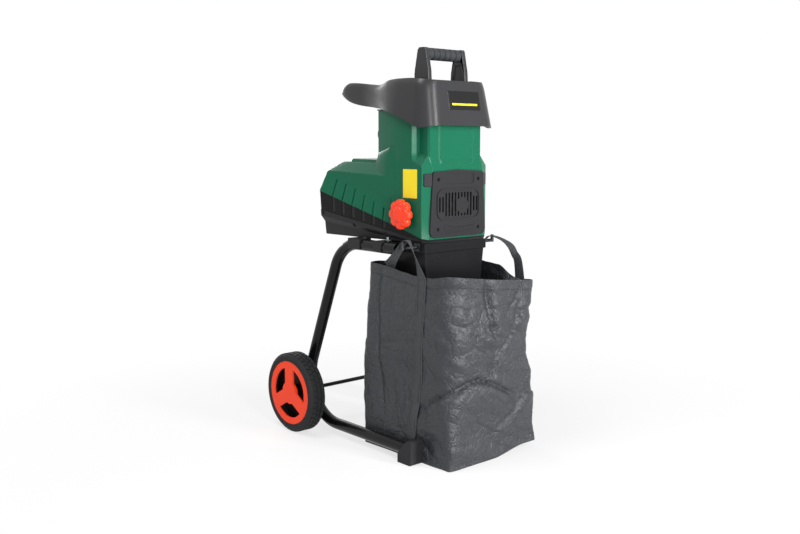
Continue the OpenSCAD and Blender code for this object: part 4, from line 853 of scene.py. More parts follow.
def hood_levels(i):
    """Half outlines of the hood from the seam up, inset by i, with its lower band in four steps."""
    low, band = hood_half(0, i), hood_half(1, i)
    made = [
        [tuple(blend_value(a, b, k / 4) for a, b in zip(p, q)) for p, q in zip(low, band)] for k in range(5)
    ]
    return made + [hood_half(2, i), hood_half(3, i)]


def pan_half(level, i):
    """Half outline of the pan at one of four levels from its floor to the seam, inset by i."""
    rear = REAR_Y - i
    tuck = (8, 6, 1.5, 0)[level]
    wide = seam_hw(REAR_Y - REAR_CUT) - (14, 12, 3, 0)[level] - i
    nose = (4, 3, 1, 0)[level]
    side = BODY_HW - nose - i
    rear_z = PAN_Z + (0, 32, 47, 0)[level]
    front_z = PAN_Z + (0, 3, 5, 0)[level]
    plan = (
        (FRONT_LOW_HW - nose - i, FRONT + nose / 2 + i, front_z), (side, FRONT + CORNER_CUT + i / 2, front_z),
        (side, FLARE_Y, front_z),
        (wide, rear - REAR_CUT - tuck, rear_z), (wide - REAR_CUT, rear - tuck, rear_z),
    )
    return [(x, y, seam(y) if level == 3 else z) for x, y, z in plan]


def lifted(half, dz):
    """A half outline moved up."""
    return [(x, y, z + dz) for x, y, z in half]


def air_grooves(face_x, ends, deep, slit):
    """Cutters for the air grooves of one shell: deep at the rear edge, fading out to the front edge.

    face_x(y, z) gives the half width of the shell's face, ends(i, y) the lower and upper end of groove i.
    A slit along the rear edge goes through the wall where slit is not 0.
    """
    wedges, slits = [], []
    for i in range(GROOVES):
        y = GROOVE_Y - GROOVE_PITCH * i
        rear, front = y + GROOVE_HALF, y - GROOVE_HALF
        low, high = ends(i, y)
        wedge = ((rear, low, deep), (rear, high, deep), (front, high - 4, 0.2), (front, low + 2, 0.2))
        gap = ((0, low + 8), (0, high - 4), (slit, high - 4), (slit, low + 8))
        through_wall = tuple((rear - k, z, 9) for k, z in gap)
        for side in (-1, 1):
            for cut, made in ((wedge, wedges), (through_wall, slits)):
                made.append((
                    [spot(side * (face_x(py, pz) - d), py, pz) for py, pz, d in cut],
                    [spot(side * (face_x(py, pz) + 6), py, pz) for py, pz, d in cut],
                ))
    return [blocks(wedges)] + ([blocks(slits)] if slit else [])


def hood_face_x(y, z):
    """Half width of the hood's lower band at a place on it."""
    t = (y - SPLIT_Y) / (REAR_Y - REAR_CUT - SPLIT_Y)
    return blend_value(seam_hw(y), BODY_HW + 4 * t, (z - seam(y)) / BAND_H)


def pan_face_x(y, z):
    """Outer face of the pan at a housing screw."""
    t = (y - FLARE_Y) / (REAR_Y - REAR_CUT - FLARE_Y)
    levels = []
    for k in (1, 2, 3):
        half = pan_half(k, 0)
        levels.append([blend_value(a, b, t) for a, b in zip(half[2], half[3])])
    low, high = (levels[0], levels[1]) if z < levels[1][2] else (levels[1], levels[2])
    return low[0] + (high[0] - low[0]) * (z - low[2]) / (high[2] - low[2])


def column_face(a, b):
    """Upper front face of the column, a across and b up from the middle of its panel."""
    z = COLUMN_PANEL_Z + b
    slope = ease((z - SHOULDER_Z) / SHOULDER_H)
    return spot(a, blend_value(FRONT, UPPER_FRONT, slope), z), Vector((0, -1, 0))


def build_column():
    """Hollow column with its windows for the grille, hood and controls, and the panel on its front."""
    wall = sizes().shell_wall / MM
    outer = rounded_edges(lofted([whole(column_half(k, 0)) for k in range(5)]), sizes().shell_edge)
    inner = lofted([
        whole(lifted(column_half(0, wall), -1)), whole(column_half(1, wall)), whole(column_half(2, wall)),
        whole(lifted(column_half(3, wall), wall)), whole(lifted(column_half(4, wall), 1)),
    ])
    inside, outside = COLUMN_BACK - wall - 1, COLUMN_BACK + 1
    grille_window = ((-66, FRONT - 3, 550), (66, FRONT + wall + 1, 620))
    hood_passage = ((-98, SPLIT_Y - 6, 532), (98, SPLIT_Y + 1, HOOD_Z - 8))
    on_off_reset_inlet = ((-11, 758, 19, 788), (23, 758, 53, 788), (57, 764, 75, 782), (0, 723, 44, 749))
    controls = [((x0, inside, z0), (x1, outside, z1)) for x0, z0, x1, z1 in on_off_reset_inlet]
    windows = boxes([grille_window, hood_passage, *controls])
    spindle = rods([(spot(-BODY_HW - 2, KNOB_Y, KNOB_Z), spot(-BODY_HW + 6, KNOB_Y, KNOB_Z))], 7 * MM)
    selector = rods([(spot(-57, inside, 745), spot(-57, outside, 745))], 4.3 * MM)
    mesh = carved(outer, [inner, windows, spindle, selector])
    evened(dressed("column_shell", mesh, "body_green", stands_for=("front_housing",)))
    panel = pad(column_face, *COLUMN_PANEL, rise=2.0, soft=3.0, cells=48)
    finished("column_panel", panel, "body_green")


# Foot of the column on the hood, as half outlines from below
PLINTH = (
    ((104.15, 106, 598), (104.15, 128, 598), (104.2, 144.6, 598), (88, 194, 640), (0.1, 196, 640)),
    ((104.15, 106, 700), (104.15, 128, 690), (104.2, 143.5, 680), (88, 192.5, 678), (0.1, 194.5, 678)),
    ((104.15, 106, 706), (104.15, 127, 698), (104.1, 141.5, 686), (87.8, 190.5, 683), (0.1, 192.5, 683)),
    ((104.15, 106, 711), (104.15, 125, 705), (104, 137, 694), (87.4, 188, 687), (0.1, 190, 688)),
    ((104.15, 106, 715), (104.15, 122, 711), (103.9, 131, 704), (87, 186.4, 692), (0.1, 187.4, 694)),
    ((104.15, 106, 718), (104.1, 118, 717), (103.6, 124.5, 713), (86.6, 185.4, 700), (0.1, 185.6, 704)),
    ((101, 106, 719), (101, 115, 719), (101, 120, 717), (84, 183, 704), (0.1, 183, 708)),
)


def build_hood():
    """Hollow hood with its air grooves, the panel on its top, and the column's foot on it."""
    wall = sizes().shell_wall / MM
    outer = rounded_edges(lofted([whole(half) for half in hood_levels(0)]), sizes().shell_edge)
    room = hood_levels(wall)
    room = [lifted(room[0], -2), lifted(room[0], 0.5), *room[1:-1], lifted(room[-1], -wall)]
    inner = lofted([whole([(x, y - 1, z) for x, y, z in half]) for half in room])
    grooves = air_grooves(
        hood_face_x, lambda i, y: (seam(y) - 4, min(642 - 13.5 * i, seam(y) + BAND_H - 5)), 2.3, 1.4
    )
    mesh = carved(outer, [inner, *grooves])
    evened(dressed("hood_shell", mesh, "body_green", stands_for=("rear_hood",)))

    def top_face(a, b):
        y = HOOD_PANEL_Y + b
        return spot(a, y, ridge_z(y)), Vector((0, 0, 1))

    panel = pad(top_face, 2 * RIDGE_HW - 18, *HOOD_PANEL, soft=7, cells=48)
    finished("hood_top", panel, "body_green")
    finished("hood_plinth", lofted([whole(half) for half in PLINTH]), "body_green")


def pan_ledge(share, i):
    """Half outline of the pan at a share of its height under the seam, inset by i."""
    made = []
    for high, low in zip(pan_half(3, i), pan_half(2, i)):
        fall = min(0.85, share * (high[2] - PAN_Z) / (high[2] - low[2]))
        made.append(tuple(blend_value(a, b, fall) for a, b in zip(high, low)))
    return made


def build_pan():
    """Hollow pan with its throat and screw seats, and the dark band in the recess round it, its darkness
    painted shade.
    """
    wall = sizes().shell_wall / MM
    outer = rounded_edges(lofted([whole(pan_half(k, 0)) for k in range(4)]), sizes().pan_edge)
    inner = lofted([
        whole(lifted(pan_half(0, wall), wall)), whole(pan_half(1, wall)), whole(pan_half(2, wall)),
        whole(pan_half(3, wall)), whole(lifted(pan_half(3, wall), 2)),
    ])
    throat = boxes([((-68, 28, PAN_Z - 2), (58, 106, PAN_Z + 5))])
    seats = rods([
        (spot(side * (pan_face_x(y, z) - 3.3), y, z), spot(side * (pan_face_x(y, z) + 4), y, z))
        for y, z in SCREWS for side in (-1, 1)
    ], 4.8 * MM)
    recess = lofted([
        whole(pan_ledge(BAND_END, BAND_INSET)), whole(lifted(pan_half(3, BAND_INSET), 4)),
        whole(lifted(pan_half(3, -8), 4)), whole(pan_ledge(BAND_END + 0.02, -8)),
    ], loop=True)
    mesh = carved(outer, [inner, throat, seats, recess])
    evened(dressed("pan_shell", mesh, "body_black", stands_for=("base_pan",)))
    band = lofted([
        whole(lifted(pan_ledge(BAND_END, 1.0), 0.4)), whole(lifted(pan_half(3, 1.0), -0.2)),
        whole(lifted(pan_half(3, 2.0), -0.2)), whole(lifted(pan_ledge(BAND_END, 2.0), 0.4)),
    ], loop=True)
    grooves = air_grooves(
        lambda y, z: pan_face_x(y, z) - 1.0, lambda i, y: (555 - 6 * i, seam(y) + 6), 3.0, 0
    )
    # The band's darker finish is painted shade in the pan's recess
    dressed("pan_band", carved(as_mesh(band, "band"), grooves), "body_black", finish="band")


# Hopper: sizes in millimetres, and the height of its lower and upper edge along y

HOPPER_HW, HOPPER_FRONT, HOPPER_R, HOPPER_WALL = 116, -15, 42, 3.5
LIP_HW, LIP_Y, LIP_R = 70, 372, 60
# Lean of the sides and of the front, round of the top edge, swell of the lip and tuck of its edges
SIDE_LEAN, FRONT_LEAN, TOP_ROUND, LIP_SWELL, LIP_TUCK = 14, 20, 5, 28, 14
# Where the hopper narrows to its lip and where its walls turn into the lip's: start and length of each
NARROW_Y, NARROW_RUN, TURN_Y, TURN_RUN = 90, 180, 100, 200
HOPPER_LOW = ((-20, 764), (14, 759), (50, 772), (90, 787), (140, 800), (205, 807), (300, 818), (372, 840))
HOPPER_TOP = ((-20, 864), (20, 867), (60, 870), (140, 869), (190, 861), (240, 864), (330, 871), (372, 862))


def through(table, y):
    """Smooth value through the points of a table."""
    if y <= table[0][0]:
        return table[0][1]
    for k in range(len(table) - 1):
        (y0, z0), (y1, z1) = table[k], table[k + 1]
        if y <= y1:
            before = table[max(0, k - 1)]
            after = table[min(len(table) - 1, k + 2)]
            m0 = (z1 - before[1]) / (y1 - before[0])
            m1 = (after[1] - z0) / (after[0] - y0)
            t, h = (y - y0) / (y1 - y0), y1 - y0
            return (
                (2 * t ** 3 - 3 * t * t + 1) * z0 + (t ** 3 - 2 * t * t + t) * h * m0
                + (3 * t * t - 2 * t ** 3) * z1 + (t ** 3 - t * t) * h * m1
            )
    return table[-1][1]


def hopper_half(i, v):
    """Half outline of the hopper, inset by i, at share v of its height."""
    hw, front, r, lip = HOPPER_HW - i, HOPPER_FRONT + i, HOPPER_R - i, LIP_HW - i
    nose = LIP_Y - i - LIP_R
    plan = [((hw - r) * (k + 0.5) / 6, front) for k in range(6)]
    plan += [
        (hw - r + r * math.cos(a), front + r + r * math.sin(a))
        for a in (math.radians(-90 + 9 * k) for k in range(11))
    ]
    for k in range(1, 33):
        y = front + r + (nose - front - r) * k / 32
        plan.append((blend_value(hw, lip, ease((y - NARROW_Y) / NARROW_RUN)), y))
    for k in range(1, 15):
        a = math.radians(90 * k / 14.5)
        plan.append((lip * math.cos(a) ** 0.7, nose + LIP_R * math.sin(a) ** 0.7))
    round_top = TOP_ROUND * (max(0, v - 0.8) / 0.2) ** 2.4
    swell = LIP_SWELL * v * (1 - v)
    made = []
    for x, y in plan:
        rear = ease((y - TURN_Y) / TURN_RUN)
        low, high = through(HOPPER_LOW, y), through(HOPPER_TOP, y)
        across = x * (1 - (SIDE_LEAN * (1 - rear) * v + round_top - swell * rear) / HOPPER_HW)
        along = y + FRONT_LEAN * v * min(1, max(0, (60 - y) / 75)) - rear * (1 - 4 * v * (1 - v)) * LIP_TUCK
        made.append((across, along, low + (high - low) * v))
    return made


def build_hopper():
    """Hopper shell through rings that lie closer at its edges."""
    steps = [0, 0.01, 0.03, 0.07, 0.12, 0.2, 0.3, 0.4, 0.5, 0.6, 0.7, 0.78, 0.84, 0.89, 0.93, 0.96]
    steps += [0.985, 1]
    rings = [whole(hopper_half(0, v)) for v in steps]
    rings += [whole(hopper_half(HOPPER_WALL, v)) for v in reversed(steps)]
    finished("hopper_shell_skin", lofted(rings, loop=True), "hopper_black", stands_for=("hopper_shell",))


# Plates and labels on the body, in millimetres

# Middle of the label, of the badge and of the grille's tabs: along or across the machine, and height
LABEL_Y, LABEL_Z, BADGE_X, BADGE_Z, TAB_X, TAB_Z = 52.5, 632.5, 11, 820, 81.5, 641
# Width, height and corner of the label, badge, its stripe, and a tab
LABEL, BADGE, STRIPE, TAB = (49, 67, 2), (104, 43, 3), (84, 5, 1), (21, 30, 3)
BADGE_RISE, STRIPE_DROP, TAB_SHIFT = 0.9, 9, 9.5
# Lip along the grille's foot: its middle, lower and upper edge, sag and half length
SILL_X, SILL_LOW_Z, SILL_TOP_Z, SILL_SAG, SILL_REACH = 6, 515, 533, 6, 54
SILL_W, SILL_H, SILL_CORNER = 106, 20, 4


def build_plates():
    """Blank label, blank badge plate with a plain stripe, and the grille's side tabs and lower lip."""
    def side_face(a, b):
        return spot(-BODY_HW, LABEL_Y - a, LABEL_Z + b), Vector((-1, 0, 0))

    label = pad(side_face, *LABEL, rise=0.35, soft=0.6, cells=30, sink=0.2)
    finished("blank_label", label, "body_green", finish="label")
    slant = Vector((0, -105, FRONT_LEAN)).normalized()

    def front_face(a, b, lift=0.0):
        z = BADGE_Z + b
        y = HOPPER_FRONT + FRONT_LEAN * (z - HOPPER_LOW[0][1]) / (HOPPER_TOP[0][1] - HOPPER_LOW[0][1])
        return spot(BADGE_X + a, y, z) + slant * lift * MM, slant

    plate = pad(front_face, *BADGE, rise=BADGE_RISE, soft=1.2)
    finished("badge_plate", plate, "hopper_black", finish="plate")

    def stripe_face(a, b):
        return front_face(a, b - STRIPE_DROP, BADGE_RISE)

    stripe = pad(stripe_face, *STRIPE, rise=0.25, soft=0.4, cells=24, sink=0.2)
    finished("badge_stripe", stripe, "hopper_black", finish="stripe")
    for side, name in SIDES:
        edge = Vector((side * (BODY_HW - TAB_X), CORNER_CUT, 0)).normalized()
        out = Vector((side * CORNER_CUT, TAB_X - BODY_HW, 0)).normalized()

        def tab_face(a, b):
            return spot(side * TAB_X, FRONT, TAB_Z + b) + edge * (TAB_SHIFT - side * a) * MM, out

        tab = pad(tab_face, *TAB, rise=2.4, soft=1.2, cells=24)
        finished(f"grille_tab_{name}", tab, "body_black")

    def lip_face(a, b):
        top = SILL_TOP_Z + SILL_SAG * (a / SILL_REACH) ** 2
        z = blend_value(SILL_LOW_Z, top, b / SILL_H + 0.5)
        return spot(SILL_X + a, 0, z), Vector((0, -1, 0))

    bm = pad(lip_face, SILL_W, SILL_H, SILL_CORNER, rise=1.9, soft=2.2, cells=44)
    for vert in bm.verts:
        share = (vert.co.z / MM - SILL_LOW_Z) / SILL_H
        if vert.co.y < GRILLE_Y - 0.1 * MM:
            vert.co.y = GRILLE_Y - (GRILLE_Y - vert.co.y) * ease(share * 1.2 + 0.05)
    finished("grille_lip", bm, "body_black")


# Wheels

# Width of the tyre, and half its section as radius and distance from the wheel's inner face
TYRE_W = 45
TYRE_HALF = (
    (80.1, 1.5), (82, 0.4), (84.5, 0.2), (85.2, 0.9), (86.6, 0.9), (87.4, 0.1), (90, 0), (93, 0.6),
    (95.6, 2.3), (97.4, 4.6), (98.2, 7.5), (98.3, 12), (98.3, 14.4), (97.2, 14.8), (97.2, 16.2),
    (98.3, 16.6), (98.4, 22.5),
)
# Tread blocks: distance of the outer rows from the middle, length and lift of a block, in metres
TREAD_SHIFT, TREAD_LENGTH, TREAD_LIFT = 0.0118, 0.0088, 0.0008
# Share of its pitch that a block fills
TREAD_FILL = 0.8


def revolve(profile, centre, side, steps=144):
    """A closed profile of (radius, distance from the wheel's inner face) turned about the axle."""
    base = centre.x - side * TYRE_W / 2 * MM
    rings = []
    for k in range(steps):
        a = 2 * math.pi * k / steps
        rings.append([
            Vector((base + side * w * MM, centre.y + r * MM * math.cos(a), centre.z + r * MM * math.sin(a)))
            for r, w in profile
        ])
    return lofted(rings, loop=True)


def build_tyre(side, name):
    """A tyre, and three rows of blocks round it."""
    low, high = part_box(f"tyre_{name}")
    centre = (low + high) / 2
    profile = list(TYRE_HALF) + [(r, TYRE_W - w) for r, w in reversed(TYRE_HALF[:-1])]
    body = f"{name}_wheel"
    finished(f"tyre_{name}_skin", revolve(profile, centre, side), "tyre_rubber", body, (f"tyre_{name}",))
    size = sizes()
    count = size.tread_blocks
    rows = [(0.0, -TREAD_SHIFT, 1.0), (math.pi / count, 0.0, 0.85), (0.0, TREAD_SHIFT, 1.0)]
    radius = TYRE_HALF[-1][0] * MM
    pitch = 2 * math.pi * radius / count
    mesh = tread_tree(rows).grown(bmesh.new(), {
        "Blocks": count, "Radius": radius - size.tread / 2 + TREAD_LIFT,
        "Block": (size.tread * 2, pitch * TREAD_FILL, TREAD_LENGTH),
        "Centre": tuple(centre), "Material": FINISHES["tyre_rubber"],
    })
    dressed(f"tread_{name}", mesh, "tyre_rubber", body)


# Frame tubes

LEG_R, LEG_BORE_R = 14, 12.5


def leg_path(side):
    """Centre line of a leg, from its front end to the joint with the base tube."""
    base_x, base_z, top_x, top_z = 149, 30, 124, 483
    corner_y, lean_y, top_r, low_r = 280, 152, 90, 115
    splay = math.atan((base_x - top_x) / (top_z - base_z))
    rise = (top_z - base_z) / math.cos(splay)
    lean = math.atan(lean_y / rise)
    top_y = corner_y - top_r * math.tan((math.pi / 2 - lean) / 2)
    low_y = corner_y + lean_y - low_r * math.tan((math.pi / 2 + lean) / 2)
    plane = [(70, rise), (90, rise), (top_y - 20, rise)]
    turn = math.pi / 2 - lean
    for k in range(19):
        a = math.pi / 2 - turn * k / 18
        plane.append((top_y + top_r * math.cos(a), rise - top_r + top_r * math.sin(a)))
    turn = math.pi / 2 + lean
    for k in range(25):
        a = lean - turn * k / 24
        plane.append((low_y + low_r * math.cos(a), low_r + low_r * math.sin(a)))
    plane.append((low_y - 10, 0))
    return [
        spot(side * (base_x - r * math.sin(splay)), y, base_z + r * math.cos(splay)) for y, r in plane
    ]


def build_legs():
    """Bent legs as hollow tubes."""
    for side, name in SIDES:
        bm = tube(leg_path(side), LEG_R * MM, LEG_BORE_R * MM)
        finished(f"leg_{name}_tube", bm, "tube_black", stands_for=(f"leg_{name}",), sharp=50)


# Adjusting knob: millimetres from its foot, share of its radius, and how deep the notches are there

KNOB_LEVELS = (
    (0, 0.45, 0), (0.6, 0.49, 0), (3, 0.52, 0), (4, 0.66, 0.35), (4.6, 0.81, 0.8), (6, 0.92, 0.97),
    (8, 0.975, 1), (11, 1, 1), (16, 1, 1), (19, 0.97, 1), (21.2, 0.915, 0.96), (22.6, 0.835, 0.85),
    (23.2, 0.735, 0.6), (23.0, 0.645, 0.35), (22.2, 0.56, 0.12), (22.2, 0.51, 0), (23.6, 0.48, 0),
    (25.2, 0.43, 0), (26, 0.345, 0), (26.2, 0.18, 0), (26.2, 0.03, 0),
)


def build_knob():
    """Lobed knob, from its foot to its cap."""
    lobes, notch_deep, notch_wide, steps = 8, 5.4, 0.18, 160
    rings = []
    for depth, share, lobe in KNOB_LEVELS:
        ring = []
        for k in range(steps):
            a = 2 * math.pi * k / steps
            phase = (a * lobes / (2 * math.pi)) % 1.0
            notch = math.exp(-(((phase - 0.5) / notch_wide) ** 2))
            r = KNOB_R * share - notch_deep * notch * lobe
            y, z = KNOB_Y + r * math.cos(a), KNOB_Z + r * math.sin(a)
            ring.append(spot(-KNOB_FOOT_X - depth, y, z))
        rings.append(ring)
    finished("knob_body", lofted(rings), "knob_red", "adjuster", ("adjusting_knob",), sharp=60)


# Collecting bag, in millimetres

BAG_FRONT, BAG_BACK, BAG_HW, BAG_RIM = -107, 187, 127, 425
BAG_MID, BAG_DEEP = (BAG_BACK + BAG_FRONT) / 2, (BAG_BACK - BAG_FRONT) / 2
# Points round the bag, rows up its wall and rings of its bottom
BAG_COUNT, BAG_ROWS, BOTTOM_RINGS = 330, 118, 9
# Height of the cloth over the floor, and rise of the bottom's middle
BAG_FLOOR, BOTTOM_RISE = 0.6, 1.2
# Radius of the corners at the foot, at the rim, and of the loose front left one at the rim
FOOT_R, RIM_R, LOOSE_R = 6, 26, 52
# Pull of the waist, spread of the foot, drift of the rear left corner outwards and back, lift of the heel
WAIST, FOOT_SPREAD, DRIFT_OUT, DRIFT_BACK, HEEL = 4, 2, 7, 9, 14
# How far the front right corner stands out at its foot, falls back above it and comes out again at the rim
CORNER_FOOT, CORNER_FALL, CORNER_RIM = 34, 18, 14
# Rim: height of its front and fall to the right, height of its sides, rise to the back and on the right
RIM_FRONT, RIM_FALL, RIM_SIDE, RIM_BACK_RISE, RIM_RIGHT_RISE = 420, 16, 427, 16, 9
# Ripple of the rim's sides
RIM_RIPPLE = 4
# The hem's seam as a share of the wall's height, and the points along it
HEM_SEAM, HEM_POINTS = 0.945, 240
# Folds as points in unrolled millimetres and height, their depth, width and the swell beside them.
# The left face lies below 0 and the front face above 0.
FOLDS = (
    (((-94, 128), (-42, 157), (-8, 171), (36, 189), (72, 194), (116, 181), (167, 154), (202, 138)),
     6.0, 5.5, 10.0),
    (((96, 425), (106, 372), (114, 318), (130, 268)), 6.0, 8.0, 8.0),
    (((-230, 256), (-124, 273)), 2.2, 4.0, 2.2),
    (((-231, 436), (-238, 230), (-225, 90)), 5.0, 5.0, 3.5),
    (((16, 83), (54, 70), (96, 71)), 2.2, 4.0, 2.4),
    (((-20, 62), (40, 50), (90, 58)), 1.8, 4.0, 2.2),
    (((-110, 60), (-60, 25), (-12, 4)), 2.4, 6.0, 3.0),
    (((20, 262), (60, 270), (104, 258)), 2.4, 4.0, 2.6),
    (((-10, 330), (34, 318), (70, 334)), 2.6, 4.5, 3.4),
    (((0, 372), (40, 352), (86, 366)), 2.6, 5.0, 3.4),
    (((30, 300), (64, 292), (92, 306)), 2.2, 4.0, 3.0),
    (((150, 330), (190, 360), (226, 402)), 2.6, 6.0, 3.2),
    (((140, 250), (180, 300), (216, 372)), 2.4, 6.0, 3.2),
    (((130, 60), (190, 96), (240, 150)), 2.4, 8.0, 3.2),
    (((150, 210), (200, 226), (248, 222)), 2.0, 5.0, 2.4),
)
# How far a fold reaches, fades towards its ends, and how far its swell runs out
FOLD_REACH, FOLD_FADE, SWELL_RUN = 90, 45, 22
# Crumpled cloth: facets as size, height and shift of their pattern, and ripples as size and height
FACETS = ((62, 2.0, (31, 0, 0)), (30, 0.8, (0, 57, 0)))
RIPPLES = ((70, 7.0), (36, 2.8), (19, 0.9))
# Slow swell of the cloth: length and height; bends of the creases: length and pull
SWELL_LENGTH, SWELL_H, BEND_LENGTH, BEND_PULL = 120, 5.0, 60, 22
# Height of the most crumpled part of the front, its reach, and the least crumple
BUSY_Z, BUSY_REACH, LEAST_CRUMPLE = 325, 80, 0.32


def bag_outline(v):
    """Dense outline of a plain bag at share v of its height, from the back middle, clockwise from above."""
    r = blend_value(FOOT_R, RIM_R, ease(v / 0.85))
    loose = blend_value(FOOT_R, LOOSE_R, ease(v / 0.7))
    hw = BAG_HW
    turns = (
        (hw - r, BAG_BACK - r, 90, r), (hw - r, BAG_FRONT + r, 0, r),
        (loose - hw, BAG_FRONT + loose, -90, loose), (r - hw, BAG_BACK - r, -180, r),
    )
    knots = [(0.0, BAG_BACK)]
    for x, y, start, radius in turns:
        for k in range(13):
            a = math.radians(start - 7.5 * k)
            knots.append((x + radius * math.cos(a), y + radius * math.sin(a)))
    knots.append((0.0, BAG_BACK))
    made = []
    for (x0, y0), (x1, y1) in zip(knots, knots[1:]):
        steps = max(1, round(math.hypot(x1 - x0, y1 - y0) / 4))
        made += [(blend_value(x0, x1, s / steps), blend_value(y0, y1, s / steps)) for s in range(steps)]
    return made + [knots[-1]]


def bag_rim(across, along):
    """Height of the rim at a place round the bag, each way from -1 to 1."""
    right = ease(across * 2 - 0.6)
    side = RIM_SIDE + RIM_BACK_RISE * ease((along + 0.4) / 1.2)
    side += RIM_RIGHT_RISE * right * ease((along + 0.8) / 0.3)
    side += RIM_RIPPLE * ease((along + 0.6) / 0.5) * noise.noise(Vector((across * 3, along * 4, 2)))
    front = RIM_FRONT - RIM_FALL * across
    return blend_value(side, front, ease((-along - 0.55 + 0.2 * right) / 0.4))


def bag_ring(v, count):
    """Points round the bag at share v of its height, evenly spaced from the back middle, and its girth."""
    waist = WAIST * math.sin(math.pi * min(1, v * 1.15)) - FOOT_SPREAD * (1 - v) ** 4
    fine = []
    for px, py in bag_outline(v):
        across, along = px / BAG_HW, (py - BAG_MID) / BAG_DEEP
        y = BAG_MID + along * (BAG_DEEP - 2.5 * max(0, v - 0.5))
        x = across * (BAG_HW - 3 * v - waist)
        reach = ease((-30 - y) / 62) * max(0, across)
        x += reach * (CORNER_FOOT - CORNER_FALL * ease(v / 0.7) + CORNER_RIM * ease((v - 0.72) / 0.28))
        rear = ease((y - 90) / 90) * max(0, -across) * math.sin(math.pi * min(1, 0.08 + 0.9 * v))
        x, y = x - DRIFT_OUT * rear, y + DRIFT_BACK * rear
        heel = HEEL * (1 - v) ** 6 * ease((x - 10) / 110) * ease(-y / 90)
        fine.append((x, y, bag_rim(across, along) * v + heel))
    run = [0.0]
    for p, q in zip(fine, fine[1:]):
        run.append(run[-1] + math.dist(p, q))
    made, i = [], 0
    for k in range(count):
        want = run[-1] * k / count
        while run[i + 1] < want:
            i += 1
        t = (want - run[i]) / (run[i + 1] - run[i])
        made.append(tuple(blend_value(a, b, t) for a, b in zip(fine[i], fine[i + 1])))
    return made, run[-1]


def fold_push(w, z):
    """How far the folds push the cloth out at an unrolled place, in millimetres."""
    push = 0.0
    for points, depth, narrow, swell in FOLDS:
        best, below = 1e9, 0.0
        for (w0, z0), (w1, z1) in zip(points, points[1:]):
            dw, dz = w1 - w0, z1 - z0
            t = max(0.0, min(1.0, ((w - w0) * dw + (z - z0) * dz) / (dw * dw + dz * dz)))
            gap = math.hypot(w - w0 - t * dw, z - z0 - t * dz)
            if gap < best:
                best = gap
                below = (z0 + t * dz) - z if abs(dw) > abs(dz) else w - (w0 + t * dw)
        if best > FOLD_REACH:
            continue
        ends = min(math.dist((w, z), points[0]), math.dist((w, z), points[-1]))
        fade = ease(ends / FOLD_FADE)
        push -= depth * math.exp(-((best / narrow) ** 2)) * (0.4 + 0.6 * fade)
        if below > 0:
            push += swell * (best / 10) * math.exp(-best / SWELL_RUN) * fade
    return push


def crumple(p, scale):
    """Sharp folded noise, from 0 at the creases to about 1 on the facets."""
    near = noise.voronoi(Vector(p) / scale)[0]
    return min(1.0, (near[1] - near[0]) * 1.6)


def cloth_push(x, y, z, v, w):
    """How far the cloth stands off the plain bag, in millimetres; w is unrolled from the corner."""
    push = fold_push(w, z)
    calm = ease(v / 0.05) * (1 - 0.7 * ease((v - 0.94) / 0.06))
    slow = noise.fractal(Vector((x, y, z)) / SWELL_LENGTH, 0.9, 2.0, 3)
    bend = [noise.noise(Vector(p) / BEND_LENGTH) * BEND_PULL for p in ((x, y, z), (z, x, y))]
    at = Vector((0.62 * x + bend[0], 0.62 * y + bend[1], 1.35 * z + 0.4 * x))
    fine = sum(high * crumple(at + Vector(shift), size) for size, high, shift in FACETS)
    for size, high in RIPPLES:
        fine += high * abs(noise.noise(at / size + Vector((size, 0, 0))))
    patch = ease((noise.noise(Vector((x + 90, y, z)) / 90) + 0.4) / 0.8)
    busy = math.exp(-(((z - BUSY_Z) / BUSY_REACH) ** 2))
    front = ease((-30 - y) / 40)
    amount = LEAST_CRUMPLE + front * (0.15 + 0.3 * patch + 0.6 * busy + 0.4 * busy * ease(-x / 100))
    hem = 0.9 * ease((v - 0.952) / 0.006)
    return push + calm * (slow * SWELL_H + (fine - 4.0) * amount) + hem


def bag_points():
    """Rows of points of the crumpled wall from its foot up, and the girth of the foot."""
    rows, girths = [], []
    for j in range(BAG_ROWS + 1):
        v = j / BAG_ROWS
        ring, girth = bag_ring(v, BAG_COUNT)
        corner = min(range(BAG_COUNT), key=lambda k: ring[k][0] + ring[k][1])
        row = []
        for k, (x, y, z) in enumerate(ring):
            before, after = ring[k - 1], ring[(k + 1) % BAG_COUNT]
            side = Vector((before[1] - after[1], after[0] - before[0], 0)).normalized()
            w = (corner - k) * girth / BAG_COUNT
            row.append(spot(x, y, z) + side * cloth_push(x, y, z, v, w) * MM)
        rows.append(row)
        girths.append(girth)
    return rows, girths[0]


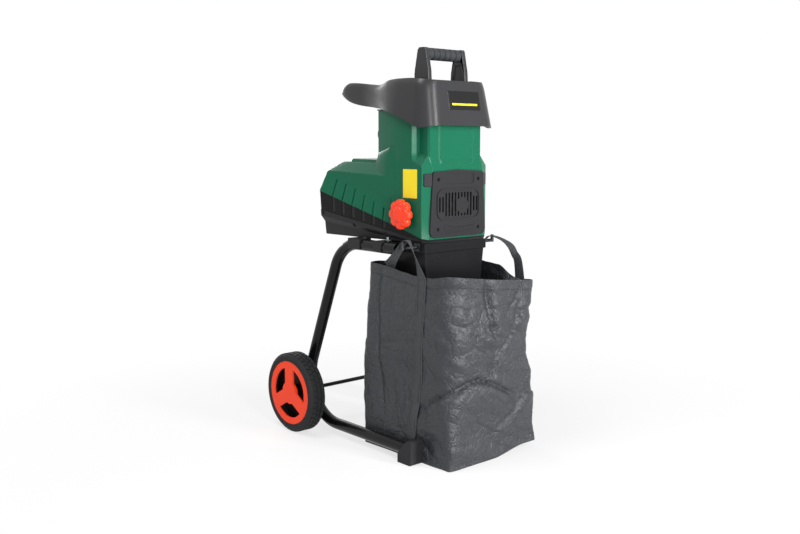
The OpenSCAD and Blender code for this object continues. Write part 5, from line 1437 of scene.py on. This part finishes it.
def bag_skin(rows, girth):
    """Wall and bottom of the bag as one skin, with the cloth's own map in metres."""
    bm = bmesh.new()
    grid = [[bm.verts.new(p) for p in row] for row in rows]
    layer = bm.loops.layers.uv.new("cloth")
    for j in range(BAG_ROWS):
        for k in range(BAG_COUNT):
            n = (k + 1) % BAG_COUNT
            f = bm.faces.new((grid[j][k], grid[j][n], grid[j + 1][n], grid[j + 1][k]))
            for loop, (ku, jv) in zip(f.loops, ((k, j), (k + 1, j), (k + 1, j + 1), (k, j + 1))):
                loop[layer].uv = (ku / BAG_COUNT * girth * MM, jv / BAG_ROWS * BAG_RIM * MM)
    mid = sum((p.co for p in grid[0]), Vector()) / BAG_COUNT
    fan = [grid[0]]
    for step in range(1, BOTTOM_RINGS):
        share = 1 - step / BOTTOM_RINGS
        rise = Vector((0, 0, BOTTOM_RISE * MM * ease(step / 3)))
        fan.append([bm.verts.new(mid + (p.co - mid) * share + rise) for p in grid[0]])
    bottom = []
    for low, high in zip(fan, fan[1:]):
        for k in range(BAG_COUNT):
            n = (k + 1) % BAG_COUNT
            bottom.append(bm.faces.new((low[n], low[k], high[k], high[n])))
    bottom.append(bm.faces.new(list(reversed(fan[-1]))))
    for f in bottom:
        for loop in f.loops:
            loop[layer].uv = (loop.vert.co.x, loop.vert.co.y)
    bmesh.ops.recalc_face_normals(bm, faces=bm.faces)
    for vert in bm.verts:
        vert.co.z = max(vert.co.z, BAG_FLOOR * MM)
    return bm


def build_bag():
    """The bag as one hung sheet with a sewn hem; gives the skin on which the webbing lies."""
    rows, girth = bag_points()
    work = scratch(bag_skin(rows, girth))
    wall = work.modifiers.new("cloth", "SOLIDIFY")
    wall.thickness = sizes().cloth
    wall.offset = -1.0
    piece = dressed("bag_shell", settled(work), "bag_cloth", stands_for=("collection_bag",), sharp=60)
    area = girth * BAG_RIM * MM * MM + (BAG_BACK - BAG_FRONT) * 2 * BAG_HW * MM * MM
    flat = (girth * MM, (BAG_RIM + BAG_DEEP) * MM)
    min(area, flat[0] * flat[1])
    mesh = piece.data
    skin = BVHTree.FromPolygons([v.co for v in mesh.vertices], [p.vertices for p in mesh.polygons])
    hem = []
    for x, y, z in bag_ring(HEM_SEAM, HEM_POINTS)[0]:
        out = Vector((x, y - BAG_MID, 0)).normalized()
        hem.append(on_bag(skin, spot(x, y, z) + out * 60 * MM, -out, 0.4))
    sew("hem_stitch", [hem + hem[:1]])
    return skin


def on_bag(skin, start, toward, clear):
    """The bag's outside where a ray meets it, held clear of the cloth by so many millimetres."""
    hit = skin.ray_cast(start, toward)[0]
    if hit is None:
        raise RuntimeError("the webbing misses the bag")
    return hit - toward * clear * MM


def sew(name, lines):
    """Thread beads along lines of points."""
    bm = bmesh.new()
    for line in lines:
        verts = [bm.verts.new(p) for p in line]
        for a, b in zip(verts, verts[1:]):
            bm.edges.new((a, b))
    pitch = sizes().stitch
    bead = (pitch * 0.36, THREAD_R * MM, THREAD_R * MM)
    mesh = stitch_tree().grown(bm, {"Pitch": pitch, "Bead": bead, "Material": FINISHES["thread"]})
    dressed(name, mesh, "strap_web", finish="thread", sharp=80)


def ribbon(path, across, widths, thick):
    """A flat webbing along a path, with its direction across and its width at each point."""
    bm = bmesh.new()
    layer = bm.loops.layers.uv.new("cloth")
    edge = [(-0.5, -0.3), (-0.46, -0.5), (0.46, -0.5), (0.5, -0.3)]
    edge += [(-a, -b) for a, b in edge]
    rings, run = [], 0.0
    for i, (p, side, width) in enumerate(zip(path, across, widths)):
        ahead = (path[min(i + 1, len(path) - 1)] - path[max(i - 1, 0)]).normalized()
        side = (side - ahead * side.dot(ahead)).normalized()
        up = side.cross(ahead)
        if i:
            run += (p - path[i - 1]).length
        rings.append(([bm.verts.new(p + side * a * width + up * b * thick) for a, b in edge], run))
    for (low, r0), (high, r1) in zip(rings, rings[1:]):
        for k in range(len(edge)):
            n = (k + 1) % len(edge)
            f = bm.faces.new((low[k], low[n], high[n], high[k]))
            for loop, (q, r) in zip(f.loops, ((k, r0), (n, r0), (n, r1), (k, r1))):
                loop[layer].uv = (edge[q][0] * widths[0], r)
    bm.faces.new(list(reversed(rings[0][0])))
    bm.faces.new(rings[-1][0])
    bmesh.ops.recalc_face_normals(bm, faces=bm.faces)
    return bm


# Webbing loops above the rim: x, y, z, the direction across in x and y, and the share of the full width
LOOP_LEFT = (
    (-131, -8, 444, 0.2, 1, 0.72), (-134, 2, 472, 0.7, 1, 0.5), (-137, 12, 497, 1, 0.5, 0.45),
    (-139, 22, 508, 1, 0, 0.5), (-140, 36, 499, 1, -0.3, 0.55), (-140, 54, 478, 0.8, -0.7, 0.6),
    (-138, 74, 458, 0.4, -1, 0.75), (-131, 90, 449, 0.1, -1, 0.9), (-125, 97, 446, 0, -1, 1.0),
    (-121.5, 99, 434, 0, -1, 1.0), (-120.5, 100, 404, 0, -1, 1.0),
)
LOOP_RIGHT = (
    (143, -58, 446, -0.1, 1, 0.8), (141, -49, 462, -0.4, 1, 0.6), (140.5, -36, 480, -0.8, 0.8, 0.55),
    (140, -12, 493, -1, 0.3, 0.5), (140, 20, 500, -1, 0, 0.5), (140.5, 40, 496, -1, -0.3, 0.5),
    (140.5, 58, 474, -0.8, -0.7, 0.6), (138, 74, 458, -0.4, -1, 0.75), (131, 90, 449, -0.1, -1, 0.9),
    (125, 97, 446, 0, -1, 1.0), (121.5, 99, 434, 0, -1, 1.0), (120.5, 100, 404, 0, -1, 1.0),
)
# Strips sewn down the bag's sides: y at the foot and at the rim of the left and the right one
STRIP_ENDS = ((20, -12), (-30, -64))
# Steps along a strip, height of its foot, its length short of the rim's height, its seams from its middle
STRIP_STEPS, STRIP_FOOT, STRIP_SHORT, STRIP_SEAM = 32, 14, 20, 9.5
# Radius of the thread, and how far out the rays start that find the bag's sides
THREAD_R, RAY_X = 0.5, 260


def build_straps(skin):
    """Webbing sewn down the bag's sides, which goes on as loops over the hooks."""
    size = sizes()
    for (side, name), loop, (foot_y, top_y) in zip(SIDES, (LOOP_LEFT, LOOP_RIGHT), STRIP_ENDS):
        toward = Vector((-side, 0, 0))
        tall = bag_rim(side, (top_y - BAG_MID) / BAG_DEEP) - STRIP_SHORT
        strip, seams = [], ([], [])
        for k in range(STRIP_STEPS + 1):
            t = k / STRIP_STEPS
            y, z = blend_value(foot_y, top_y, t), STRIP_FOOT + tall * t
            strip.append(on_bag(skin, spot(side * RAY_X, y, z), toward, 1.1))
            for seam_line, shift in zip(seams, (-STRIP_SEAM, STRIP_SEAM)):
                seam_line.append(on_bag(skin, spot(side * RAY_X, y + shift, z), toward, 2.0))
        points = strip + [spot(*knot[:3]) for knot in loop]
        across = [Vector((0, 1, 0))] * len(strip) + [Vector((*knot[3:5], 0)) for knot in loop]
        widths = [size.web_width] * len(strip) + [size.web_width * knot[5] for knot in loop]
        bm = ribbon(spline(points, 6), spline(across, 6), spline(widths, 6), size.web)
        finished(f"webbing_{name}", bm, "strap_web", stands_for=(f"bag_strap_{name}",), sharp=60)
        sew(f"strip_stitch_{name}", seams)


# CAD nodes that stay: their finish, and the radius of their edges in millimetres where they get one

KEPT = {
    "base_tube_left": ("tube_black", 0), "base_tube_right": ("tube_black", 0),
    "foot_left": ("foot_black", 2.0), "foot_right": ("foot_black", 2.0),
    "axle": ("tube_black", 0), "axle_spacers": ("foot_black", 0), "axle_clips": ("bright_steel", 0),
    "wheel_rim_left": ("rim_black", 0.8), "wheel_rim_right": ("rim_black", 0.8),
    "wheel_cover_left": ("cover_red", 1.0), "wheel_cover_right": ("cover_red", 1.0),
    "tube_saddles": ("body_black", 1.2), "saddle_bolts": ("bright_steel", 0.5),
    "front_grille": ("body_black", 0.7), "grille_screws": ("black_steel", 0),
    # The chute takes the dark band's finish, darker as painted shade under the body
    "housing_screws": ("black_steel", 0), "discharge_chute": ("band", 2.0),
    "hopper_deck": ("hopper_black", 1.0), "carry_handle": ("hopper_black", 2.4),
    "handle_grip": ("grip_rubber", 0.9), "feed_funnel": ("body_black", 0),
    # The cutting chamber's dark casting finish is painted shade inside the housing
    "cutting_chamber": ("casting", 0), "roller_bearings": ("bright_steel", 0),
    "roller_shaft": ("bright_steel", 0), "cutting_roller": ("tool_steel", 0),
    "pressure_plate": ("cast_alloy", 0), "adjusting_spindle": ("bright_steel", 0),
    "gearbox_case": ("cast_alloy", 0), "gearbox_cover": ("cast_alloy", 0),
    "output_gear": ("tool_steel", 0), "layshaft": ("tool_steel", 0), "layshaft_bushes": ("bush_bronze", 0),
    "motor_shell": ("motor_iron", 0), "stator_core": ("motor_iron", 0),
    "stator_windings": ("winding_copper", 0), "motor_rotor": ("dark_steel", 0),
    "motor_bearings": ("bright_steel", 0),
    "motor_end_shield": ("cast_alloy", 0), "cooling_fan": ("fan_plastic", 0),
    "run_capacitor": ("bright_steel", 0), "control_panel": ("body_black", 0.8),
    "on_button": ("button_green", 1.2), "off_button": ("button_red", 1.2),
    "direction_selector": ("switch_black", 1.0), "reset_button": ("switch_black", 0.8),
    "power_inlet": ("switch_black", 0.6), "bag_hooks": ("dark_steel", 0.8),
}


def dress_nodes():
    """Gives the CAD nodes that stay their finish, and round edges to those that are seen close."""
    for name, (slot, edge) in KEPT.items():
        node = NODES[name]
        for holder in node.material_slots:
            holder.material = FINISHES[slot]
        if not node.material_slots:
            raise RuntimeError(f"{name} has no material slot to dress")
        if edge:
            weld = node.modifiers.new("joined", "WELD")
            weld.merge_threshold = 1e-5
            bevelled(node, edge * MM, 35)
            evened(node)


# Stage, in metres

# Light of the world on the object, where white seen directly is 1
WORLD_LIGHT = 0.22
FLOOR_HALF, FLOOR_Z = 9, -0.0004
# The floor's own light where it is seen: its share near the object and far off, and where these begin
NEAR_GLOW, FAR_GLOW, NEAR, FAR = 0.70, 1.0, 0.45, 1.25
# Lamps: place, width and height, power in watts, and the point that all are aimed at
LAMPS = {
    "key lamp": ((0.62, -2.7, 1.02), (0.4, 2.0), 74),
    "fill lamp": ((-1.0, -2.5, 1.0), (0.36, 1.96), 42),
    "top lamp": ((-1.2, 0.2, 2.8), (1.2, 1.2), 36),
    "rear lamp": ((0.8, 2.8, 1.3), (1.4, 0.8), 26),
}
LAMP_AIM = (0.0, 0.0, 0.5)
# Camera as fitted to the photograph: place, turn and fall in degrees, lens and sensor in millimetres
CAMERA_PLACE, CAMERA_TURN, CAMERA_FALL = (-1.5371, -1.7268, 0.7231), -41.35, 7.476
LENS, SENSOR = 42.33, 36.0


def area_lamp(name, place, aim, size, power):
    """A lamp of a width and height, aimed at a point."""
    lamp = bpy.data.lights.new(name, "AREA")
    lamp.shape = "RECTANGLE"
    lamp.size, lamp.size_y = size
    lamp.energy = power
    holder = bpy.data.objects.new(name, lamp)
    holder.location = place
    holder.rotation_mode = "QUATERNION"
    holder.rotation_quaternion = (Vector(aim) - Vector(place)).to_track_quat("-Z", "Y")
    bpy.context.scene.collection.objects.link(holder)


def seen_white(f):
    """1 for rays that should meet a white studio: camera, mirror and glass rays."""
    path = f.tree.nodes.new("ShaderNodeLightPath")
    rays = [Value(f, path.outputs[k]) for k in ("Is Camera Ray", "Is Glossy Ray", "Is Transmission Ray")]
    return rays[0].larger(rays[1]).larger(rays[2])


class StudioWorld(Finish):
    """World light that is white where it is seen."""

    def __init__(self, light):
        world = bpy.data.worlds.new("Studio")
        world.use_nodes = True
        self.tree = world.node_tree
        back = self.tree.nodes["Background"]
        back.inputs["Color"].default_value = (1.0, 1.0, 1.0, 1.0)
        white = seen_white(self)
        strength = white * (1.0 - light) + light
        self.tree.links.new(strength.socket, back.inputs["Strength"])
        bpy.context.scene.world = world


def build_floor():
    """White floor that keeps the object's shadow near it."""
    bm = bmesh.new()
    corners = ((-1, -1), (1, -1), (1, 1), (-1, 1))
    bm.faces.new([bm.verts.new((x * FLOOR_HALF, y * FLOOR_HALF, FLOOR_Z)) for x, y in corners])
    floor = scratch(bm, "studio_floor")
    f = Finish("Studio floor")
    fleck = f.noise(3.0, 2.0)
    f.surface(Base_Color=f.mix(fleck * 0.1, (0.92, 0.92, 0.92), (0.88, 0.88, 0.88)), Roughness=0.9)
    glow = f.tree.nodes.new("ShaderNodeEmission")
    glow.inputs["Strength"].default_value = 1.0
    away = f.node("ShaderNodeVectorMath", {"operation": "LENGTH"}, {0: f.place()}, "Value")
    share = f.node("ShaderNodeMapRange", {"interpolation_type": "SMOOTHSTEP"}, {
        "Value": away, "From Min": NEAR, "From Max": FAR, "To Min": NEAR_GLOW, "To Max": FAR_GLOW})
    out = f.tree.nodes["Material Output"]
    both = f.tree.nodes.new("ShaderNodeMixShader")
    f.tree.links.new((seen_white(f) * share).socket, both.inputs[0])
    f.tree.links.new(f.shader.outputs[0], both.inputs[1])
    f.tree.links.new(glow.outputs[0], both.inputs[2])
    f.tree.links.new(both.outputs[0], out.inputs["Surface"])
    floor.data.materials.append(f.material)


def place_camera():
    """The photograph's camera."""
    camera = bpy.data.cameras.new("Camera")
    camera.lens = LENS
    camera.sensor_width = SENSOR
    holder = bpy.data.objects.new("Camera", camera)
    turn, fall = math.radians(CAMERA_TURN), math.radians(CAMERA_FALL)
    back = Vector((math.sin(turn) * math.cos(fall), -math.cos(turn) * math.cos(fall), math.sin(fall)))
    holder.location = CAMERA_PLACE
    holder.rotation_mode = "QUATERNION"
    holder.rotation_quaternion = (-back).to_track_quat("-Z", "Y")
    bpy.context.scene.collection.objects.link(holder)
    bpy.context.scene.camera = holder


def build_stage():
    """World, floor, lamps and camera."""
    bpy.context.scene.view_settings.view_transform = "Standard"
    StudioWorld(WORLD_LIGHT)
    build_floor()
    for name, (place, size, power) in LAMPS.items():
        area_lamp(name, place, LAMP_AIM, size, power)
    place_camera()


# Operators and panel


class SHREDDER_OT_finishes(bpy.types.Operator):
    """Make every finish"""

    bl_idname = "shredder.finishes"
    bl_label = "Finishes"

    def execute(self, context):
        make_finishes()
        return {"FINISHED"}


class SHREDDER_OT_stage(bpy.types.Operator):
    """Make the floor, lamps, world and camera"""

    bl_idname = "shredder.stage"
    bl_label = "Stage"

    def execute(self, context):
        build_stage()
        return {"FINISHED"}


class SHREDDER_OT_nodes(bpy.types.Operator):
    """Finish the CAD nodes that stay"""

    bl_idname = "shredder.nodes"
    bl_label = "CAD nodes"

    def execute(self, context):
        dress_nodes()
        return {"FINISHED"}


class SHREDDER_OT_shells(bpy.types.Operator):
    """Make the column, hood and pan with rounded edges"""

    bl_idname = "shredder.shells"
    bl_label = "Body shells"

    def execute(self, context):
        build_column()
        build_hood()
        build_pan()
        return {"FINISHED"}


class SHREDDER_OT_hopper(bpy.types.Operator):
    """Make the smooth hopper skin"""

    bl_idname = "shredder.hopper"
    bl_label = "Hopper"

    def execute(self, context):
        build_hopper()
        return {"FINISHED"}


class SHREDDER_OT_plates(bpy.types.Operator):
    """Make the blank label and plate"""

    bl_idname = "shredder.plates"
    bl_label = "Plates"

    def execute(self, context):
        build_plates()
        return {"FINISHED"}


class SHREDDER_OT_wheels(bpy.types.Operator):
    """Make the tyres with their tread"""

    bl_idname = "shredder.wheels"
    bl_label = "Tyres"

    def execute(self, context):
        for side, name in SIDES:
            build_tyre(side, name)
        return {"FINISHED"}


class SHREDDER_OT_legs(bpy.types.Operator):
    """Make the bent legs"""

    bl_idname = "shredder.legs"
    bl_label = "Legs"

    def execute(self, context):
        build_legs()
        return {"FINISHED"}


class SHREDDER_OT_knob(bpy.types.Operator):
    """Make the lobed knob"""

    bl_idname = "shredder.knob"
    bl_label = "Knob"

    def execute(self, context):
        build_knob()
        return {"FINISHED"}


class SHREDDER_OT_bag(bpy.types.Operator):
    """Make the bag and its webbing"""

    bl_idname = "shredder.bag"
    bl_label = "Bag"

    def execute(self, context):
        build_straps(build_bag())
        return {"FINISHED"}


OPERATORS = (
    SHREDDER_OT_finishes, SHREDDER_OT_stage, SHREDDER_OT_nodes, SHREDDER_OT_shells, SHREDDER_OT_hopper,
    SHREDDER_OT_plates, SHREDDER_OT_wheels, SHREDDER_OT_legs, SHREDDER_OT_knob, SHREDDER_OT_bag,
)


class SHREDDER_PT_panel(bpy.types.Panel):
    """Lists the steps that build the shredder"""

    bl_idname = "SHREDDER_PT_panel"
    bl_label = "Garden shredder"
    bl_space_type = "VIEW_3D"
    bl_region_type = "UI"
    bl_category = "Shredder"

    def draw(self, context):
        for group in (context.scene.shredder_sizes, context.scene.shredder_colours):
            box = self.layout.box()
            for key in group.__annotations__:
                box.prop(group, key)
        for step in OPERATORS:
            self.layout.operator(step.bl_idname)


CLASSES = (ShredderSizes, ShredderColours, *OPERATORS, SHREDDER_PT_panel)


def register():
    for made in CLASSES:
        bpy.utils.register_class(made)
    bpy.types.Scene.shredder_sizes = bpy.props.PointerProperty(type=ShredderSizes)
    bpy.types.Scene.shredder_colours = bpy.props.PointerProperty(type=ShredderColours)


def unregister():
    del bpy.types.Scene.shredder_colours
    del bpy.types.Scene.shredder_sizes
    for made in reversed(CLASSES):
        bpy.utils.unregister_class(made)


def main():
    register()
    for step in OPERATORS:
        group, name = step.bl_idname.split(".")
        getattr(getattr(bpy.ops, group), name)()


if __name__ == "__main__":
    main()
